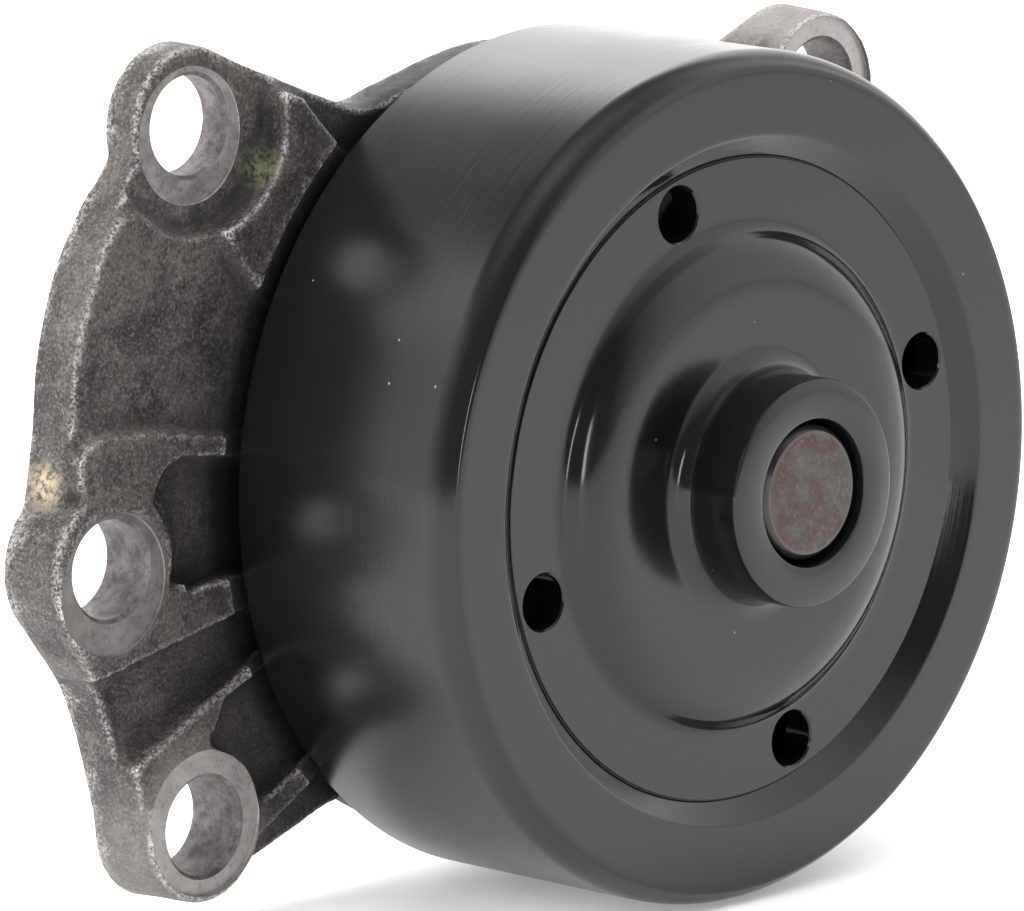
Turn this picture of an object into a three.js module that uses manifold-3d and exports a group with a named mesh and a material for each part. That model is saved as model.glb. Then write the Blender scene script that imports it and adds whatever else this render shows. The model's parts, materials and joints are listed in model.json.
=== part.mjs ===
// Belt-driven engine water pump: a die-cast aluminium housing that bolts to the engine through six lugs,
// a water-pump bearing with its own shaft, a flat-faced steel belt pulley, a spring-loaded face seal and
// an open impeller. Millimetres. The shaft axis is Y, the pulley faces -Y, +Z is up, and the origin is on
// the shaft axis in the plane of the mounting face.
import * as THREE from 'three';
import { mergeVertices } from 'three/addons/utils/BufferGeometryUtils.js';
import Module from 'manifold-3d';

const wasm = await Module();
wasm.setup();

// ---- fits shared by neighbouring pieces -----------------------------------------------------------
const pressGap = 0.05; // radial, between a pressed-in piece and its seat
const restGap = 0.3; // axial, where one piece rests against another
const runGap = 1.1; // axial, between turning and standing pieces
const overlap = 0.5; // how far tools and joined bodies run into each other

// ---- housing --------------------------------------------------------------------------------------
const plateThickness = 4.2;
const padHeight = 5.0;
const ribHeight = 6.1;
const ribWidth = 2.6;
const boltHoleRadius = 4.5;
const boltChamfer = 0.35;
const rearChamfer = 0.5;
const bodyRadius = 37.0; // round middle of the flange

// Each lug: centre, outside radius, height of its machined seat and the seat's radius.
const lugs = [
  { name: 'upper_left', x: -41.3, z: 33.9, outer: 7.3, seat: 3.4, seatRadius: 6.3 },
  { name: 'middle_left', x: -53.5, z: -4.2, outer: 7.6, seat: 5.8, seatRadius: 6.5 },
  { name: 'lower_left', x: -43.0, z: -29.0, outer: 7.2, seat: 6.6, seatRadius: 6.8 },
  { name: 'lower_right', x: 36.0, z: -31.0, outer: 7.2, seat: 6.4, seatRadius: 6.6 },
  { name: 'middle_right', x: 53.0, z: -3.0, outer: 7.4, seat: 5.8, seatRadius: 6.5 },
  { name: 'upper_right', x: 39.4, z: 28.9, outer: 7.4, seat: 5.6, seatRadius: 6.7 },
];
const shelfHeight = 3.8; // the thin lug at the upper left
const shelfRadius = 9.8; // clearance round that lug's bolt head
const tubeWall = 4.5; // metal round the bearing
const hubWall = 4.5; // metal round the face seal
const hubLength = 7.5;
const pocketRadius = 31.5; // impeller pocket in the mounting face
const pocketDepth = 1.6;
const gussetReach = 33.0;
const gussetHeight = 16.0;
const gussetWidth = 3.0;
const gussetAngles = [20, 80, 140, 200, 320];
const weepRadius = 1.6;

// ---- bearing --------------------------------------------------------------------------------------
const shaftRadius = 6.1;
const ringRadius = 13.0;
const ringRear = -4.0; // inner end of the bearing's outer ring
const ringProud = 1.0; // how far the ring stands out of the housing's tube
const hubToRing = 1.75; // pulley hub to the ring's front end
const ballRadius = 2.4;
const ballCount = 8;
const raceClearance = 0.12; // between a ball and the bottom of its groove
const rowInset = 5.6; // from each end of the ring to its row of balls
const cageThickness = 1.0;
const cageSlack = 0.17; // between a ball and the cage's fingers
const bearingSealThickness = 0.9;
const bearingSealInset = 0.5;

// ---- pulley ---------------------------------------------------------------------------------------
const beltRadius = 39.0;
const beltWidth = 26.4;
const flangeGap = 6.6; // mounting face to the pulley's rear edge
const pulleyWall = 3.0;
const edgeRadius = 4.1;
const edgeTurn = 48; // degrees of the rim's rounding before it breaks into the flat face
const rimFaceOuter = 36.9;
const rimFaceInner = 31.5;
const coveRadius = 29.4;
const coveDepth = 2.65;
const webDepth = 1.6;
const webInner = 23.5;
const plateauRadius = 20.1;
const plateauRise = 1.25;
const noseRadius = 10.4;
const noseRise = 7.96;
const noseFillet = 1.8;
const noseChamfer = 0.3;
const boreChamfer = 0.9;
const pulleyHoleRadius = 2.55;
const pulleyHolePitch = 26.05;
const pulleyHoleCount = 4;
const pulleyHoleStart = 17; // degrees from +X
const shaftRecess = 0.35;
const hubBackRadius = 9.6;
const hubBackRise = 1.4; // how far the hub stands back from the plateau's rear face

// ---- face seal and impeller -----------------------------------------------------------------------
const cupRadius = 14.0;
const cupDepth = 7.0;
const cupWall = 0.6;
const cupFlange = 2.5; // how far the cup's flange stands out
const cupStart = 1.2; // floor of the seal cup
const springTurns = 2;
const springWire = 0.45; // radius
const springRoom = 0.4; // between the spring and the cup
const impellerRadius = 28.0;
const impellerDisc = 2.2;
const vaneHeight = 9.0;
const vaneThickness = 2.2;
const vaneCount = 6;
const vaneInner = 11.5;
const impellerHubRadius = 9.5;
const slingerRadius = 9.8;
const slingerThickness = 0.8;

// ---- places worked out from the sizes -------------------------------------------------------------
const pulleyRear = -flangeGap;
const rimFace = pulleyRear - beltWidth;
const noseFace = rimFace - noseRise;
const plateauFace = rimFace - plateauRise;
const webFace = rimFace + webDepth;
const plateauBack = plateauFace + pulleyWall;
const hubBack = plateauBack + hubBackRise;
const ringFront = hubBack + hubToRing;
const tubeFront = ringFront + ringProud;
const tubeRadius = ringRadius + tubeWall;
const hubRadius = cupRadius + hubWall;
const cupInner = cupRadius - cupWall;
const springRadius = cupInner - springRoom - springWire;
const frontRow = ringFront + rowInset;
const rearRow = ringRear - rowInset;
const shaftFront = noseFace + shaftRecess;
const cupEnd = cupStart + cupDepth;
const impellerFront = Math.max(hubLength, cupEnd) + runGap;
const impellerRear = impellerFront + impellerDisc + vaneHeight;
const shaftRear = impellerRear - 2.0;
const grooveDepth = 1.0;
const innerRaceRadius = shaftRadius + 0.9; // the shaft is thicker between the bearing's seals
const pitchRadius = innerRaceRadius - grooveDepth + ballRadius + raceClearance;
const outerRaceRadius = pitchRadius + ballRadius + raceClearance;
const ringBore = outerRaceRadius - grooveDepth;
const cageFinger = 2 * pitchRadius * Math.sin(Math.PI / (2 * ballCount)) - ballRadius - cageSlack;
const chamberRadius = ringRadius - 1.6;
const clearanceRadius = beltRadius + 0.9; // turned clear of the pulley

// ---- facets of a full turn ------------------------------------------------------------------------
const fineTurn = 48; // pulley and its clearance
const tubeTurn = 32; // tube, hub and pocket
const plainTurn = 24; // rings and discs
const holeTurn = 16; // bolt holes and their seats
const drillTurn = 12; // small holes
const ballTurn = 8;

// ---- materials ------------------------------------------------------------------------------------
function metal(color, roughness, metalness = 1) {
  return new THREE.MeshStandardMaterial({ color, roughness, metalness });
}
const castAluminium = metal(0x77716e, 0.62, 0.85);
const blackCoat = metal(0x17171a, 0.22, 0.1);
const groundSteel = metal(0x8f8f92, 0.3);
const ballSteel = metal(0xc4c6ca, 0.12);
const cagePolyamide = metal(0x3a3328, 0.6, 0);
const blackRubber = metal(0x1a1a1a, 0.7, 0);
const springSteel = metal(0xa0a2a6, 0.3);
const seatBrass = metal(0xb08d4a, 0.35);
const carbon = metal(0x2a2a2c, 0.5, 0);
const ceramic = metal(0x4a4a50, 0.25, 0);
const pressedSteel = metal(0x8a8c90, 0.4);

// ---- solids ---------------------------------------------------------------------------------------
// Merges shared vertices and drops the flat triangles that a pole leaves.
function weld(geometry) {
  geometry.deleteAttribute('normal');
  geometry.deleteAttribute('uv');
  const merged = mergeVertices(geometry, 1e-3);
  const index = merged.index.array;
  const kept = [];
  for (let i = 0; i < index.length; i += 3) {
    const [a, b, c] = [index[i], index[i + 1], index[i + 2]];
    if (a !== b && b !== c && c !== a) kept.push(a, b, c);
  }
  merged.setIndex(kept);
  return merged;
}

function signedVolume(geometry) {
  const position = geometry.attributes.position;
  const index = geometry.index.array;
  const [a, b, c] = [new THREE.Vector3(), new THREE.Vector3(), new THREE.Vector3()];
  let volume = 0;
  for (let i = 0; i < index.length; i += 3) {
    a.fromBufferAttribute(position, index[i]);
    b.fromBufferAttribute(position, index[i + 1]);
    c.fromBufferAttribute(position, index[i + 2]);
    volume += a.dot(b.cross(c)) / 6;
  }
  return volume;
}

// A welded geometry whose faces point outwards.
function closed(geometry) {
  const merged = weld(geometry);
  if (signedVolume(merged) < 0) {
    const index = merged.index.array;
    for (let i = 0; i < index.length; i += 3) {
      [index[i + 1], index[i + 2]] = [index[i + 2], index[i + 1]];
    }
  }
  return merged;
}

function solid(geometry) {
  const merged = closed(geometry);
  const mesh = new wasm.Mesh({
    numProp: 3,
    vertProperties: new Float32Array(merged.attributes.position.array),
    triVerts: new Uint32Array(merged.index.array),
  });
  return new wasm.Manifold(mesh);
}

function surface(manifold) {
  const mesh = manifold.getMesh();
  const geometry = new THREE.BufferGeometry();
  geometry.setAttribute('position', new THREE.BufferAttribute(new Float32Array(mesh.vertProperties), 3));
  geometry.setIndex(new THREE.BufferAttribute(new Uint32Array(mesh.triVerts), 1));
  return weld(geometry);
}

function join(solids) {
  return solids.reduce((whole, next) => whole.add(next));
}

function cut(body, tools) {
  return tools.reduce((rest, tool) => rest.subtract(tool), body);
}

// A ring or disc round the shaft axis from a closed profile of [radius, y] points.
function turned(profile, segments = plainTurn) {
  const points = profile.map(([radius, y]) => new THREE.Vector2(radius, y));
  if (profile[0][0] > 0) points.push(points[0].clone());
  return new THREE.LatheGeometry(points, segments);
}

// A plain ring round the shaft axis.
function ring(inner, outer, from, to, segments = plainTurn) {
  return turned([[inner, from], [outer, from], [outer, to], [inner, to]], segments);
}

// A plain disc or peg parallel to the shaft axis at (x, z), as a solid.
function peg(radius, from, to, x = 0, z = 0, segments = plainTurn) {
  const geometry = turned([[0, from], [radius, from], [radius, to], [0, to]], segments);
  geometry.translate(x, 0, z);
  return solid(geometry);
}

// A cone parallel to the shaft axis, for chamfers.
function cone(fromRadius, toRadius, from, to, x, z) {
  const geometry = turned([[0, from], [fromRadius, from], [toRadius, to], [0, to]], holeTurn);
  geometry.translate(x, 0, z);
  return solid(geometry);
}

// A flat shape in X and Z, from the mounting face forwards between two heights, as a solid.
function slab(shape, from, to, curveSegments = 6) {
  const geometry = new THREE.ExtrudeGeometry(shape, {
    depth: to - from,
    bevelEnabled: false,
    curveSegments,
  });
  geometry.rotateX(Math.PI / 2);
  geometry.translate(0, -from, 0);
  return solid(geometry);
}

function polygon(points) {
  return new THREE.Shape(points.map(([x, z]) => new THREE.Vector2(x, z)));
}

// A straight bar between two points in X and Z.
function bar([x0, z0], [x1, z1], width, from, to) {
  const along = new THREE.Vector2(x1 - x0, z1 - z0).normalize();
  const [sideX, sideZ] = [-along.y * width / 2, along.x * width / 2];
  const corners = [
    [x0 - sideX, z0 - sideZ],
    [x1 - sideX, z1 - sideZ],
    [x1 + sideX, z1 + sideZ],
    [x0 + sideX, z0 + sideZ],
  ];
  return slab(polygon(corners), from, to);
}

function polar(radius, degrees) {
  const angle = THREE.MathUtils.degToRad(degrees);
  return [radius * Math.cos(angle), radius * Math.sin(angle)];
}

const pump = new THREE.Group();

function addPiece(name, geometry, material) {
  const mesh = new THREE.Mesh(geometry, material);
  mesh.name = name;
  pump.add(mesh);
  return mesh;
}

// ---- housing --------------------------------------------------------------------------------------
function lug(name) {
  return lugs.find((entry) => entry.name === name);
}

// The flange's outline, anticlockwise seen from the pulley side: lug corners as arcs, joined by edges.
function flangeOutline() {
  const rad = THREE.MathUtils.degToRad;
  const shape = new THREE.Shape();
  const corner = (name, from, to) => {
    const { x, z, outer } = lug(name);
    shape.absarc(x, z, outer, rad(from), rad(to), false);
  };
  const through = (points) => shape.splineThru(points.map(([x, z]) => new THREE.Vector2(x, z)));
  corner('upper_right', -28, 118);
  shape.lineTo(22.4, bodyRadius * 0.83);
  shape.absarc(0, 0, bodyRadius, rad(56), rad(107), false);
  shape.lineTo(-19.5, 33.3);
  corner('upper_left', 68, 200);
  through([[-50.6, 26.9], [-54.4, 21.6], [-56.8, 14.6], [-57.5, 7.8], [-58.5, 2.6]]);
  corner('middle_left', 132, 216);
  through([[-57.1, -11.8], [-54.2, -16.0], [-51.9, -22.2], [-50.3, -28.6]]);
  corner('lower_left', 186, 292);
  shape.lineTo(-24.2, -30.1);
  shape.absarc(0, 0, bodyRadius, rad(236), rad(299), false);
  corner('lower_right', 238, 352);
  through([[45.6, -22.6], [49.6, -15.6], [56.2, -9.9]]);
  corner('middle_right', 304, 420);
  through([[53.4, 8.6], [49.0, 16.4]]);
  shape.closePath();
  return shape;
}

// The solid lug round a bolt hole, as high as its machined seat.
function boltLug({ x, z, outer, seat, seatRadius }) {
  const neck = Math.max(outer, seatRadius + 0.4);
  return peg(neck, -overlap, -seat, x, z);
}

// The drill for a bolt hole, with a chamfer at each end.
function boltHole({ x, z, seat }) {
  const drill = peg(boltHoleRadius, -seat - 4, 1, x, z, holeTurn);
  const mouth = boltHoleRadius + boltChamfer;
  const front = cone(mouth + 1, boltHoleRadius, -seat - 1, -seat + boltChamfer, x, z);
  const rear = cone(boltHoleRadius, boltHoleRadius + rearChamfer + 1, -rearChamfer, 1, x, z);
  return join([drill, front, rear]);
}

// A tapering web from the bearing tube down to the flange.
function gusset(degrees) {
  const upright = new THREE.Shape([
    new THREE.Vector2(tubeRadius - 2, -plateThickness + overlap),
    new THREE.Vector2(gussetReach, -plateThickness + overlap),
    new THREE.Vector2(gussetReach, -plateThickness - overlap),
    new THREE.Vector2(tubeRadius - 2, -gussetHeight),
  ]);
  const geometry = new THREE.ExtrudeGeometry(upright, { depth: gussetWidth, bevelEnabled: false });
  geometry.translate(0, 0, -gussetWidth / 2);
  geometry.rotateY(-THREE.MathUtils.degToRad(degrees));
  return solid(geometry);
}

function buildHousing() {
  const outline = flangeOutline();
  const plate = slab(outline, 0, plateThickness);
  const whole = slab(outline, plateThickness - overlap, padHeight);
  const upperHalf = slab(polygon([[-80, 7], [80, 7], [80, 60], [-80, 60]]), 0, 10);
  const pad = whole.intersect(upperHalf);
  const ribFrom = plateThickness - overlap;
  const rib = (from, to, width = ribWidth) => bar(from, to, width, ribFrom, ribHeight);
  const web = (points) => slab(polygon(points), ribFrom, ribHeight);
  const ribs = [
    rib([-57.0, 7.5], [-34.0, 4.0]),
    web([[-54.8, -13.6], [-34.0, -9.6], [-34.0, -7.6], [-50.0, -7.0]]),
    web([[-51.4, -22.0], [-34.0, -13.6], [-34.0, -16.2], [-39.8, -18.0], [-41.5, -23.0], [-50.2, -27.0]]),
    web([[-37.0, -30.6], [-27.0, -24.4], [-25.4, -26.2], [-36.0, -33.4]]),
    rib([36.0, 3.0], [53.0, 4.6]),
    rib([34.0, -9.0], [50.0, -7.0]),
    rib([26.0, -24.0], [35.0, -28.0]),
    rib([22.0, 20.0], [37.0, 27.0], 4),
  ];
  const tube = peg(tubeRadius, -overlap, tubeFront, 0, 0, tubeTurn);
  const weepRib = bar([0, -12], [0, -bodyRadius + 0.6], 7, ribFrom, padHeight + 0.4);
  const hub = peg(hubRadius, -overlap, hubLength, 0, 0, tubeTurn);
  const gussets = gussetAngles.map(gusset);
  let body = join([plate, pad, ...ribs, ...lugs.map(boltLug), tube, weepRib, ...gussets]);

  const shelf = lug('upper_left');
  const headRoom = peg(shelfRadius, -20, -shelfHeight, shelf.x, shelf.z);
  const turnedClear = solid(ring(tubeRadius + 7, clearanceRadius, -12, -flangeGap + runGap, fineTurn));
  body = cut(body, [headRoom]);
  const raised = cut(turnedClear, [solid(ring(tubeRadius, gussetReach + overlap, -14, 0, tubeTurn))]);
  body = cut(body, [raised]);

  const pocket = cut(peg(pocketRadius, -pocketDepth, 2, 0, 0, tubeTurn), [peg(hubRadius, -5, 5, 0, 0, tubeTurn)]);
  body = cut(body, [pocket]).add(hub);

  const seats = lugs.map(({ x, z, seat, seatRadius }) => peg(seatRadius, -seat - 8, -seat, x, z));
  const bearingBore = peg(ringRadius + pressGap, -60, ringRear + restGap);
  const chamber = peg(chamberRadius, ringRear - 1, cupStart + 1);
  const sealBore = peg(cupRadius + pressGap, cupStart - restGap, hubLength + 5);
  const weep = new THREE.CylinderGeometry(weepRadius, weepRadius, bodyRadius, drillTurn);
  weep.rotateX(Math.PI / 2);
  weep.translate(0, -plateThickness / 2 - 0.3, -chamberRadius + 3 - bodyRadius / 2);
  return cut(body, [...seats, ...lugs.map(boltHole), bearingBore, chamber, sealBore, solid(weep)]);
}

// ---- pulley ---------------------------------------------------------------------------------------
function arcPoints(centreR, centreY, radius, from, to, steps) {
  return Array.from({ length: steps + 1 }, (_, i) => {
    const [dr, dy] = polar(radius, from + ((to - from) * i) / steps);
    return [centreR + dr, centreY + dy];
  });
}

function buildPulley() {
  const edgeHeight = edgeRadius * Math.sin(THREE.MathUtils.degToRad(edgeTurn)) + 0.1;
  const edge = arcPoints(beltRadius - edgeRadius, rimFace + edgeHeight, edgeRadius, 0, -edgeTurn, 3);
  const fillet = arcPoints(noseRadius + noseFillet, plateauFace - noseFillet, noseFillet, 90, 180, 3);
  const innerWall = beltRadius - pulleyWall;
  const webBack = webFace + pulleyWall;
  const profile = [
    [innerWall, pulleyRear],
    [beltRadius - 0.5, pulleyRear],
    [beltRadius, pulleyRear - 0.5],
    ...edge,
    [rimFaceOuter, rimFace],
    [rimFaceInner, rimFace],
    [coveRadius + 0.7, rimFace + coveDepth * 0.75],
    [coveRadius, rimFace + coveDepth],
    [coveRadius - 0.1, webFace],
    [webInner, webFace],
    [webInner - 1.1, webFace - 0.7],
    [plateauRadius + 0.8, plateauFace + 0.5],
    [plateauRadius - 0.6, plateauFace],
    ...fillet,
    [noseRadius, noseFace + noseChamfer],
    [noseRadius - noseChamfer, noseFace],
    [shaftRadius + boreChamfer, noseFace],
    [shaftRadius + pressGap, noseFace + 0.7],
    [shaftRadius + pressGap, hubBack],
    [hubBackRadius, hubBack],
    [hubBackRadius, plateauBack],
    [plateauRadius - pulleyWall / 2, plateauBack],
    [webInner - 0.6, webBack],
    [coveRadius + 1.4, webBack],
    [rimFaceInner + 1.6, rimFace + pulleyWall],
    [innerWall - 1.6, rimFace + pulleyWall],
    [innerWall, rimFace + pulleyWall + 1.6],
  ];
  const drills = Array.from({ length: pulleyHoleCount }, (_, i) => {
    const [x, z] = polar(pulleyHolePitch, pulleyHoleStart + (360 / pulleyHoleCount) * i);
    return peg(pulleyHoleRadius, rimFace - 2, webBack + 2, x, z, drillTurn);
  });
  return cut(solid(turned(profile, fineTurn)), drills);
}

// ---- bearing --------------------------------------------------------------------------------------
// A ball groove with a flat bottom and sloping sides; side is 1 on the ring and -1 on the shaft.
function groove(y, side) {
  const bottom = side > 0 ? outerRaceRadius : innerRaceRadius - grooveDepth;
  const land = bottom - side * grooveDepth;
  const [mouth, floor] = [ballRadius * 0.85, ballRadius * 0.42];
  return [[land, y - mouth], [bottom, y - floor], [bottom, y + floor], [land, y + mouth]];
}

function buildShaft() {
  const chamfer = 0.5;
  const step = bearingSealInset + bearingSealThickness + 0.6;
  return turned([
    [0, shaftFront],
    [shaftRadius - chamfer, shaftFront],
    [shaftRadius, shaftFront + chamfer],
    [shaftRadius, ringFront + step - 0.4],
    [innerRaceRadius, ringFront + step],
    ...groove(frontRow, -1),
    ...groove(rearRow, -1),
    [innerRaceRadius, ringRear - step],
    [shaftRadius, ringRear - step + 0.4],
    [shaftRadius, shaftRear - chamfer],
    [shaftRadius - chamfer, shaftRear],
    [0, shaftRear],
  ]);
}

function buildOuterRing() {
  const mouth = ringBore + 0.8;
  const lip = bearingSealInset + bearingSealThickness + restGap;
  return turned([
    [mouth, ringFront],
    [ringRadius - 0.5, ringFront],
    [ringRadius, ringFront + 0.5],
    [ringRadius, ringRear - 0.5],
    [ringRadius - 0.5, ringRear],
    [mouth, ringRear],
    [mouth, ringRear - lip],
    [ringBore, ringRear - lip],
    ...groove(rearRow, 1).reverse(),
    ...groove(frontRow, 1).reverse(),
    [ringBore, ringFront + lip],
    [mouth, ringFront + lip],
  ]);
}

function buildBearingSeal(outside, direction) {
  const from = outside + direction * bearingSealInset;
  const inner = shaftRadius + 0.15;
  const outer = ringBore + 0.8 - pressGap;
  return ring(inner, outer, from, from + direction * bearingSealThickness);
}

// A comb cage: a ring beside the balls with one finger between each pair.
function buildCage(y, direction) {
  const inner = innerRaceRadius + 0.35;
  const outer = ringBore - 0.35;
  const back = y + direction * (ballRadius + 0.25);
  const band = solid(ring(inner, outer, back, back + direction * cageThickness));
  const fingers = Array.from({ length: ballCount }, (_, i) => {
    const [x, z] = polar((inner + outer) / 2, (360 / ballCount) * (i + 0.5));
    return peg(cageFinger, y - direction * 1.2, back + direction * overlap, x, z, 8);
  });
  return join([band, ...fingers]);
}

function addBalls(row, y) {
  for (let i = 0; i < ballCount; i += 1) {
    const [x, z] = polar(pitchRadius, (360 / ballCount) * i);
    const ball = addPiece(`${row}_ball_${i + 1}`, closed(new THREE.SphereGeometry(ballRadius, ballTurn, 6)), ballSteel);
    ball.position.set(x, y, z);
  }
}

// ---- face seal ------------------------------------------------------------------------------------
const carbonInner = shaftRadius + 1.2;
const carbonOuter = springRadius - springWire - 0.9;
const carbonFrom = cupStart + 3.6;
const carbonTo = cupEnd - 0.8;
const matingFrom = carbonTo + 0.1;

function buildSealCup() {
  const lip = shaftRadius + 1.4;
  return turned([
    [lip, cupStart],
    [cupRadius, cupStart],
    [cupRadius, cupEnd - cupWall],
    [cupRadius + cupFlange, cupEnd - cupWall],
    [cupRadius + cupFlange, cupEnd],
    [cupInner, cupEnd],
    [cupInner, cupStart + cupWall],
    [lip, cupStart + cupWall],
  ]);
}

function buildBellows() {
  const floor = cupStart + cupWall + 0.1;
  const inner = shaftRadius + 0.9;
  const neck = carbonOuter - 1.6;
  return turned([
    [inner, floor],
    [cupInner - 0.3, floor],
    [cupInner - 0.3, floor + 0.8],
    [neck, floor + 0.8],
    [neck - 0.5, floor + 1.5],
    [neck, carbonFrom - 0.2],
    [inner, carbonFrom - 0.2],
    [inner - 0.2, floor + 1.4],
  ]);
}

class Helix extends THREE.Curve {
  constructor(radius, from, to, turns) {
    super();
    Object.assign(this, { radius, from, to, turns });
  }

  getPoint(t) {
    const angle = t * this.turns * 2 * Math.PI;
    const y = this.from + (this.to - this.from) * t;
    return new THREE.Vector3(this.radius * Math.cos(angle), y, this.radius * Math.sin(angle));
  }
}

function buildSpring() {
  const from = cupStart + cupWall + 0.9 + springWire + 0.15;
  const to = carbonTo - springWire - 0.9;
  const wire = new THREE.Shape().absarc(0, 0, springWire, 0, 2 * Math.PI, false);
  return new THREE.ExtrudeGeometry(wire, {
    steps: springTurns * 16,
    curveSegments: 3,
    extrudePath: new Helix(springRadius, from, to, springTurns),
    bevelEnabled: false,
  });
}

// The follower that carries the spring's load to the carbon ring.
function buildDriveCollar() {
  const from = carbonTo - 0.8;
  return ring(carbonOuter - 0.3, cupInner - 0.35, from, from + 0.6);
}

function buildCarbon() {
  const nose = carbonOuter - 1.4;
  return turned([
    [carbonInner, carbonFrom],
    [carbonOuter - 0.4, carbonFrom],
    [carbonOuter - 0.4, carbonTo - 1.0],
    [nose, carbonTo - 1.0],
    [nose, carbonTo],
    [carbonInner, carbonTo],
  ]);
}

const matingTo = impellerFront + 0.9;

function buildMatingRing() {
  return ring(shaftRadius + 0.9, carbonOuter - 0.6, matingFrom, matingTo - restGap);
}

function buildMatingBoot() {
  return ring(shaftRadius + pressGap, shaftRadius + 0.8, matingFrom + 0.2, matingTo - restGap);
}

// ---- impeller and slinger -------------------------------------------------------------------------
function vane(index) {
  const turn = 360 / vaneCount;
  const sweep = 46;
  const steps = 6;
  const side = (offset) => Array.from({ length: steps + 1 }, (_, i) => {
    const share = i / steps;
    const radius = vaneInner + (impellerRadius - 0.4 - vaneInner) * share;
    const [x, z] = polar(radius, index * turn - sweep * share ** 0.8);
    const [dx, dz] = polar(offset, index * turn - sweep * share - 55);
    return [x + dx, z + dz];
  });
  const points = [...side(-vaneThickness / 2), ...side(vaneThickness / 2).reverse()];
  const discBack = impellerFront + impellerDisc;
  return slab(polygon(points), -discBack - vaneHeight, -discBack + overlap);
}

function buildImpeller() {
  const disc = peg(impellerRadius, impellerFront, impellerFront + impellerDisc, 0, 0, tubeTurn);
  const hub = peg(impellerHubRadius, impellerFront, impellerRear - 3);
  const vanes = Array.from({ length: vaneCount }, (_, i) => vane(i));
  const bore = peg(shaftRadius + pressGap, impellerFront - 2, impellerRear + 2);
  const seatRoom = peg(carbonOuter - 0.6 + pressGap, impellerFront - 2, matingTo);
  const whole = join([disc, hub, ...vanes]);
  return cut(whole, [bore, seatRoom]);
}

function buildSlinger() {
  const y = (ringRear + cupStart) / 2;
  return turned([
    [shaftRadius + pressGap, y - 1.2],
    [shaftRadius + 1.2, y - 1.2],
    [shaftRadius + 1.2, y - slingerThickness / 2],
    [slingerRadius, y - slingerThickness / 2],
    [slingerRadius, y + slingerThickness / 2],
    [shaftRadius + pressGap, y + slingerThickness / 2],
  ]);
}

// ---- assembly -------------------------------------------------------------------------------------
addPiece('housing', surface(buildHousing()), castAluminium);
addPiece('pulley', surface(buildPulley()), blackCoat);
addPiece('bearing_shaft', closed(buildShaft()), groundSteel);
addPiece('bearing_outer_ring', closed(buildOuterRing()), groundSteel);
addPiece('bearing_seal_front', closed(buildBearingSeal(ringFront, 1)), blackRubber);
addPiece('bearing_seal_rear', closed(buildBearingSeal(ringRear, -1)), blackRubber);
addPiece('ball_cage_front', surface(buildCage(frontRow, 1)), cagePolyamide);
addPiece('ball_cage_rear', surface(buildCage(rearRow, -1)), cagePolyamide);
addBalls('front', frontRow);
addBalls('rear', rearRow);
addPiece('slinger', closed(buildSlinger()), pressedSteel);
addPiece('seal_cup', closed(buildSealCup()), seatBrass);
addPiece('seal_bellows', closed(buildBellows()), blackRubber);
addPiece('seal_spring', closed(buildSpring()), springSteel);
addPiece('seal_drive_collar', closed(buildDriveCollar()), pressedSteel);
addPiece('seal_carbon_ring', closed(buildCarbon()), carbon);
addPiece('mating_ring', closed(buildMatingRing()), ceramic);
addPiece('mating_ring_boot', closed(buildMatingBoot()), blackRubber);
addPiece('impeller', surface(buildImpeller()), pressedSteel);

export default pump;
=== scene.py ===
import json
import math

import bmesh
import bpy
import numpy as np
from bpy.props import FloatProperty, IntProperty, PointerProperty, StringProperty
from mathutils import Matrix, Vector, noise


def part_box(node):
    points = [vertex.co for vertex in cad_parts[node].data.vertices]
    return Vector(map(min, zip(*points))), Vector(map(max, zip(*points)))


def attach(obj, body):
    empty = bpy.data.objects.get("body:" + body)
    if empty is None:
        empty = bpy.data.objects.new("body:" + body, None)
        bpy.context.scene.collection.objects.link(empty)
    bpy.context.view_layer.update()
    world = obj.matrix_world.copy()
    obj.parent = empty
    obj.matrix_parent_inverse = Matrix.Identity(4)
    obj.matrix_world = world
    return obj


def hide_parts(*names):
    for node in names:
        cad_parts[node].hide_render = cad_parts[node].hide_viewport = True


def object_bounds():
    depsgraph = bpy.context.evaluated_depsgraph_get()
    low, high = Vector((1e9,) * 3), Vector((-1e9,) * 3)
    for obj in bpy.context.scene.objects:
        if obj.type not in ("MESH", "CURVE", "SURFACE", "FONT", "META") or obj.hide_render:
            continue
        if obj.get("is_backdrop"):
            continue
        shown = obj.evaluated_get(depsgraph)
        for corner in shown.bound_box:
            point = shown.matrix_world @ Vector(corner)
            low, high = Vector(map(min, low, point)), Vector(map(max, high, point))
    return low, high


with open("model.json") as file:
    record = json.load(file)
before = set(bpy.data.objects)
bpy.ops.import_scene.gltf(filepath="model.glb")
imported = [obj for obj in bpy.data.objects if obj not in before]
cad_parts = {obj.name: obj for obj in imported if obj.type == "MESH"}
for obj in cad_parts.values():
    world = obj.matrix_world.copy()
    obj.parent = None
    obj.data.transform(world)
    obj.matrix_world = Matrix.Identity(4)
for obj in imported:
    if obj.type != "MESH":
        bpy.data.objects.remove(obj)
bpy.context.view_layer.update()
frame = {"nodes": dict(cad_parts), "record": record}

bl_info = {
    "name": "Engine Water Pump",
    "version": (1, 0, 0),
    "blender": (4, 5, 0),
    "location": "3D View > Sidebar > Water Pump",
    "description": "Builds the looks of a belt-driven engine water pump round its CAD frame",
    "category": "Object",
}

MM = 0.001
RECORD = frame["record"]


# ---- places read from the frame -------------------------------------------------------------------
def node_box(node):
    """Lowest and highest corner of a CAD node, in millimetres."""
    low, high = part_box(node)
    return low / MM, high / MM


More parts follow.
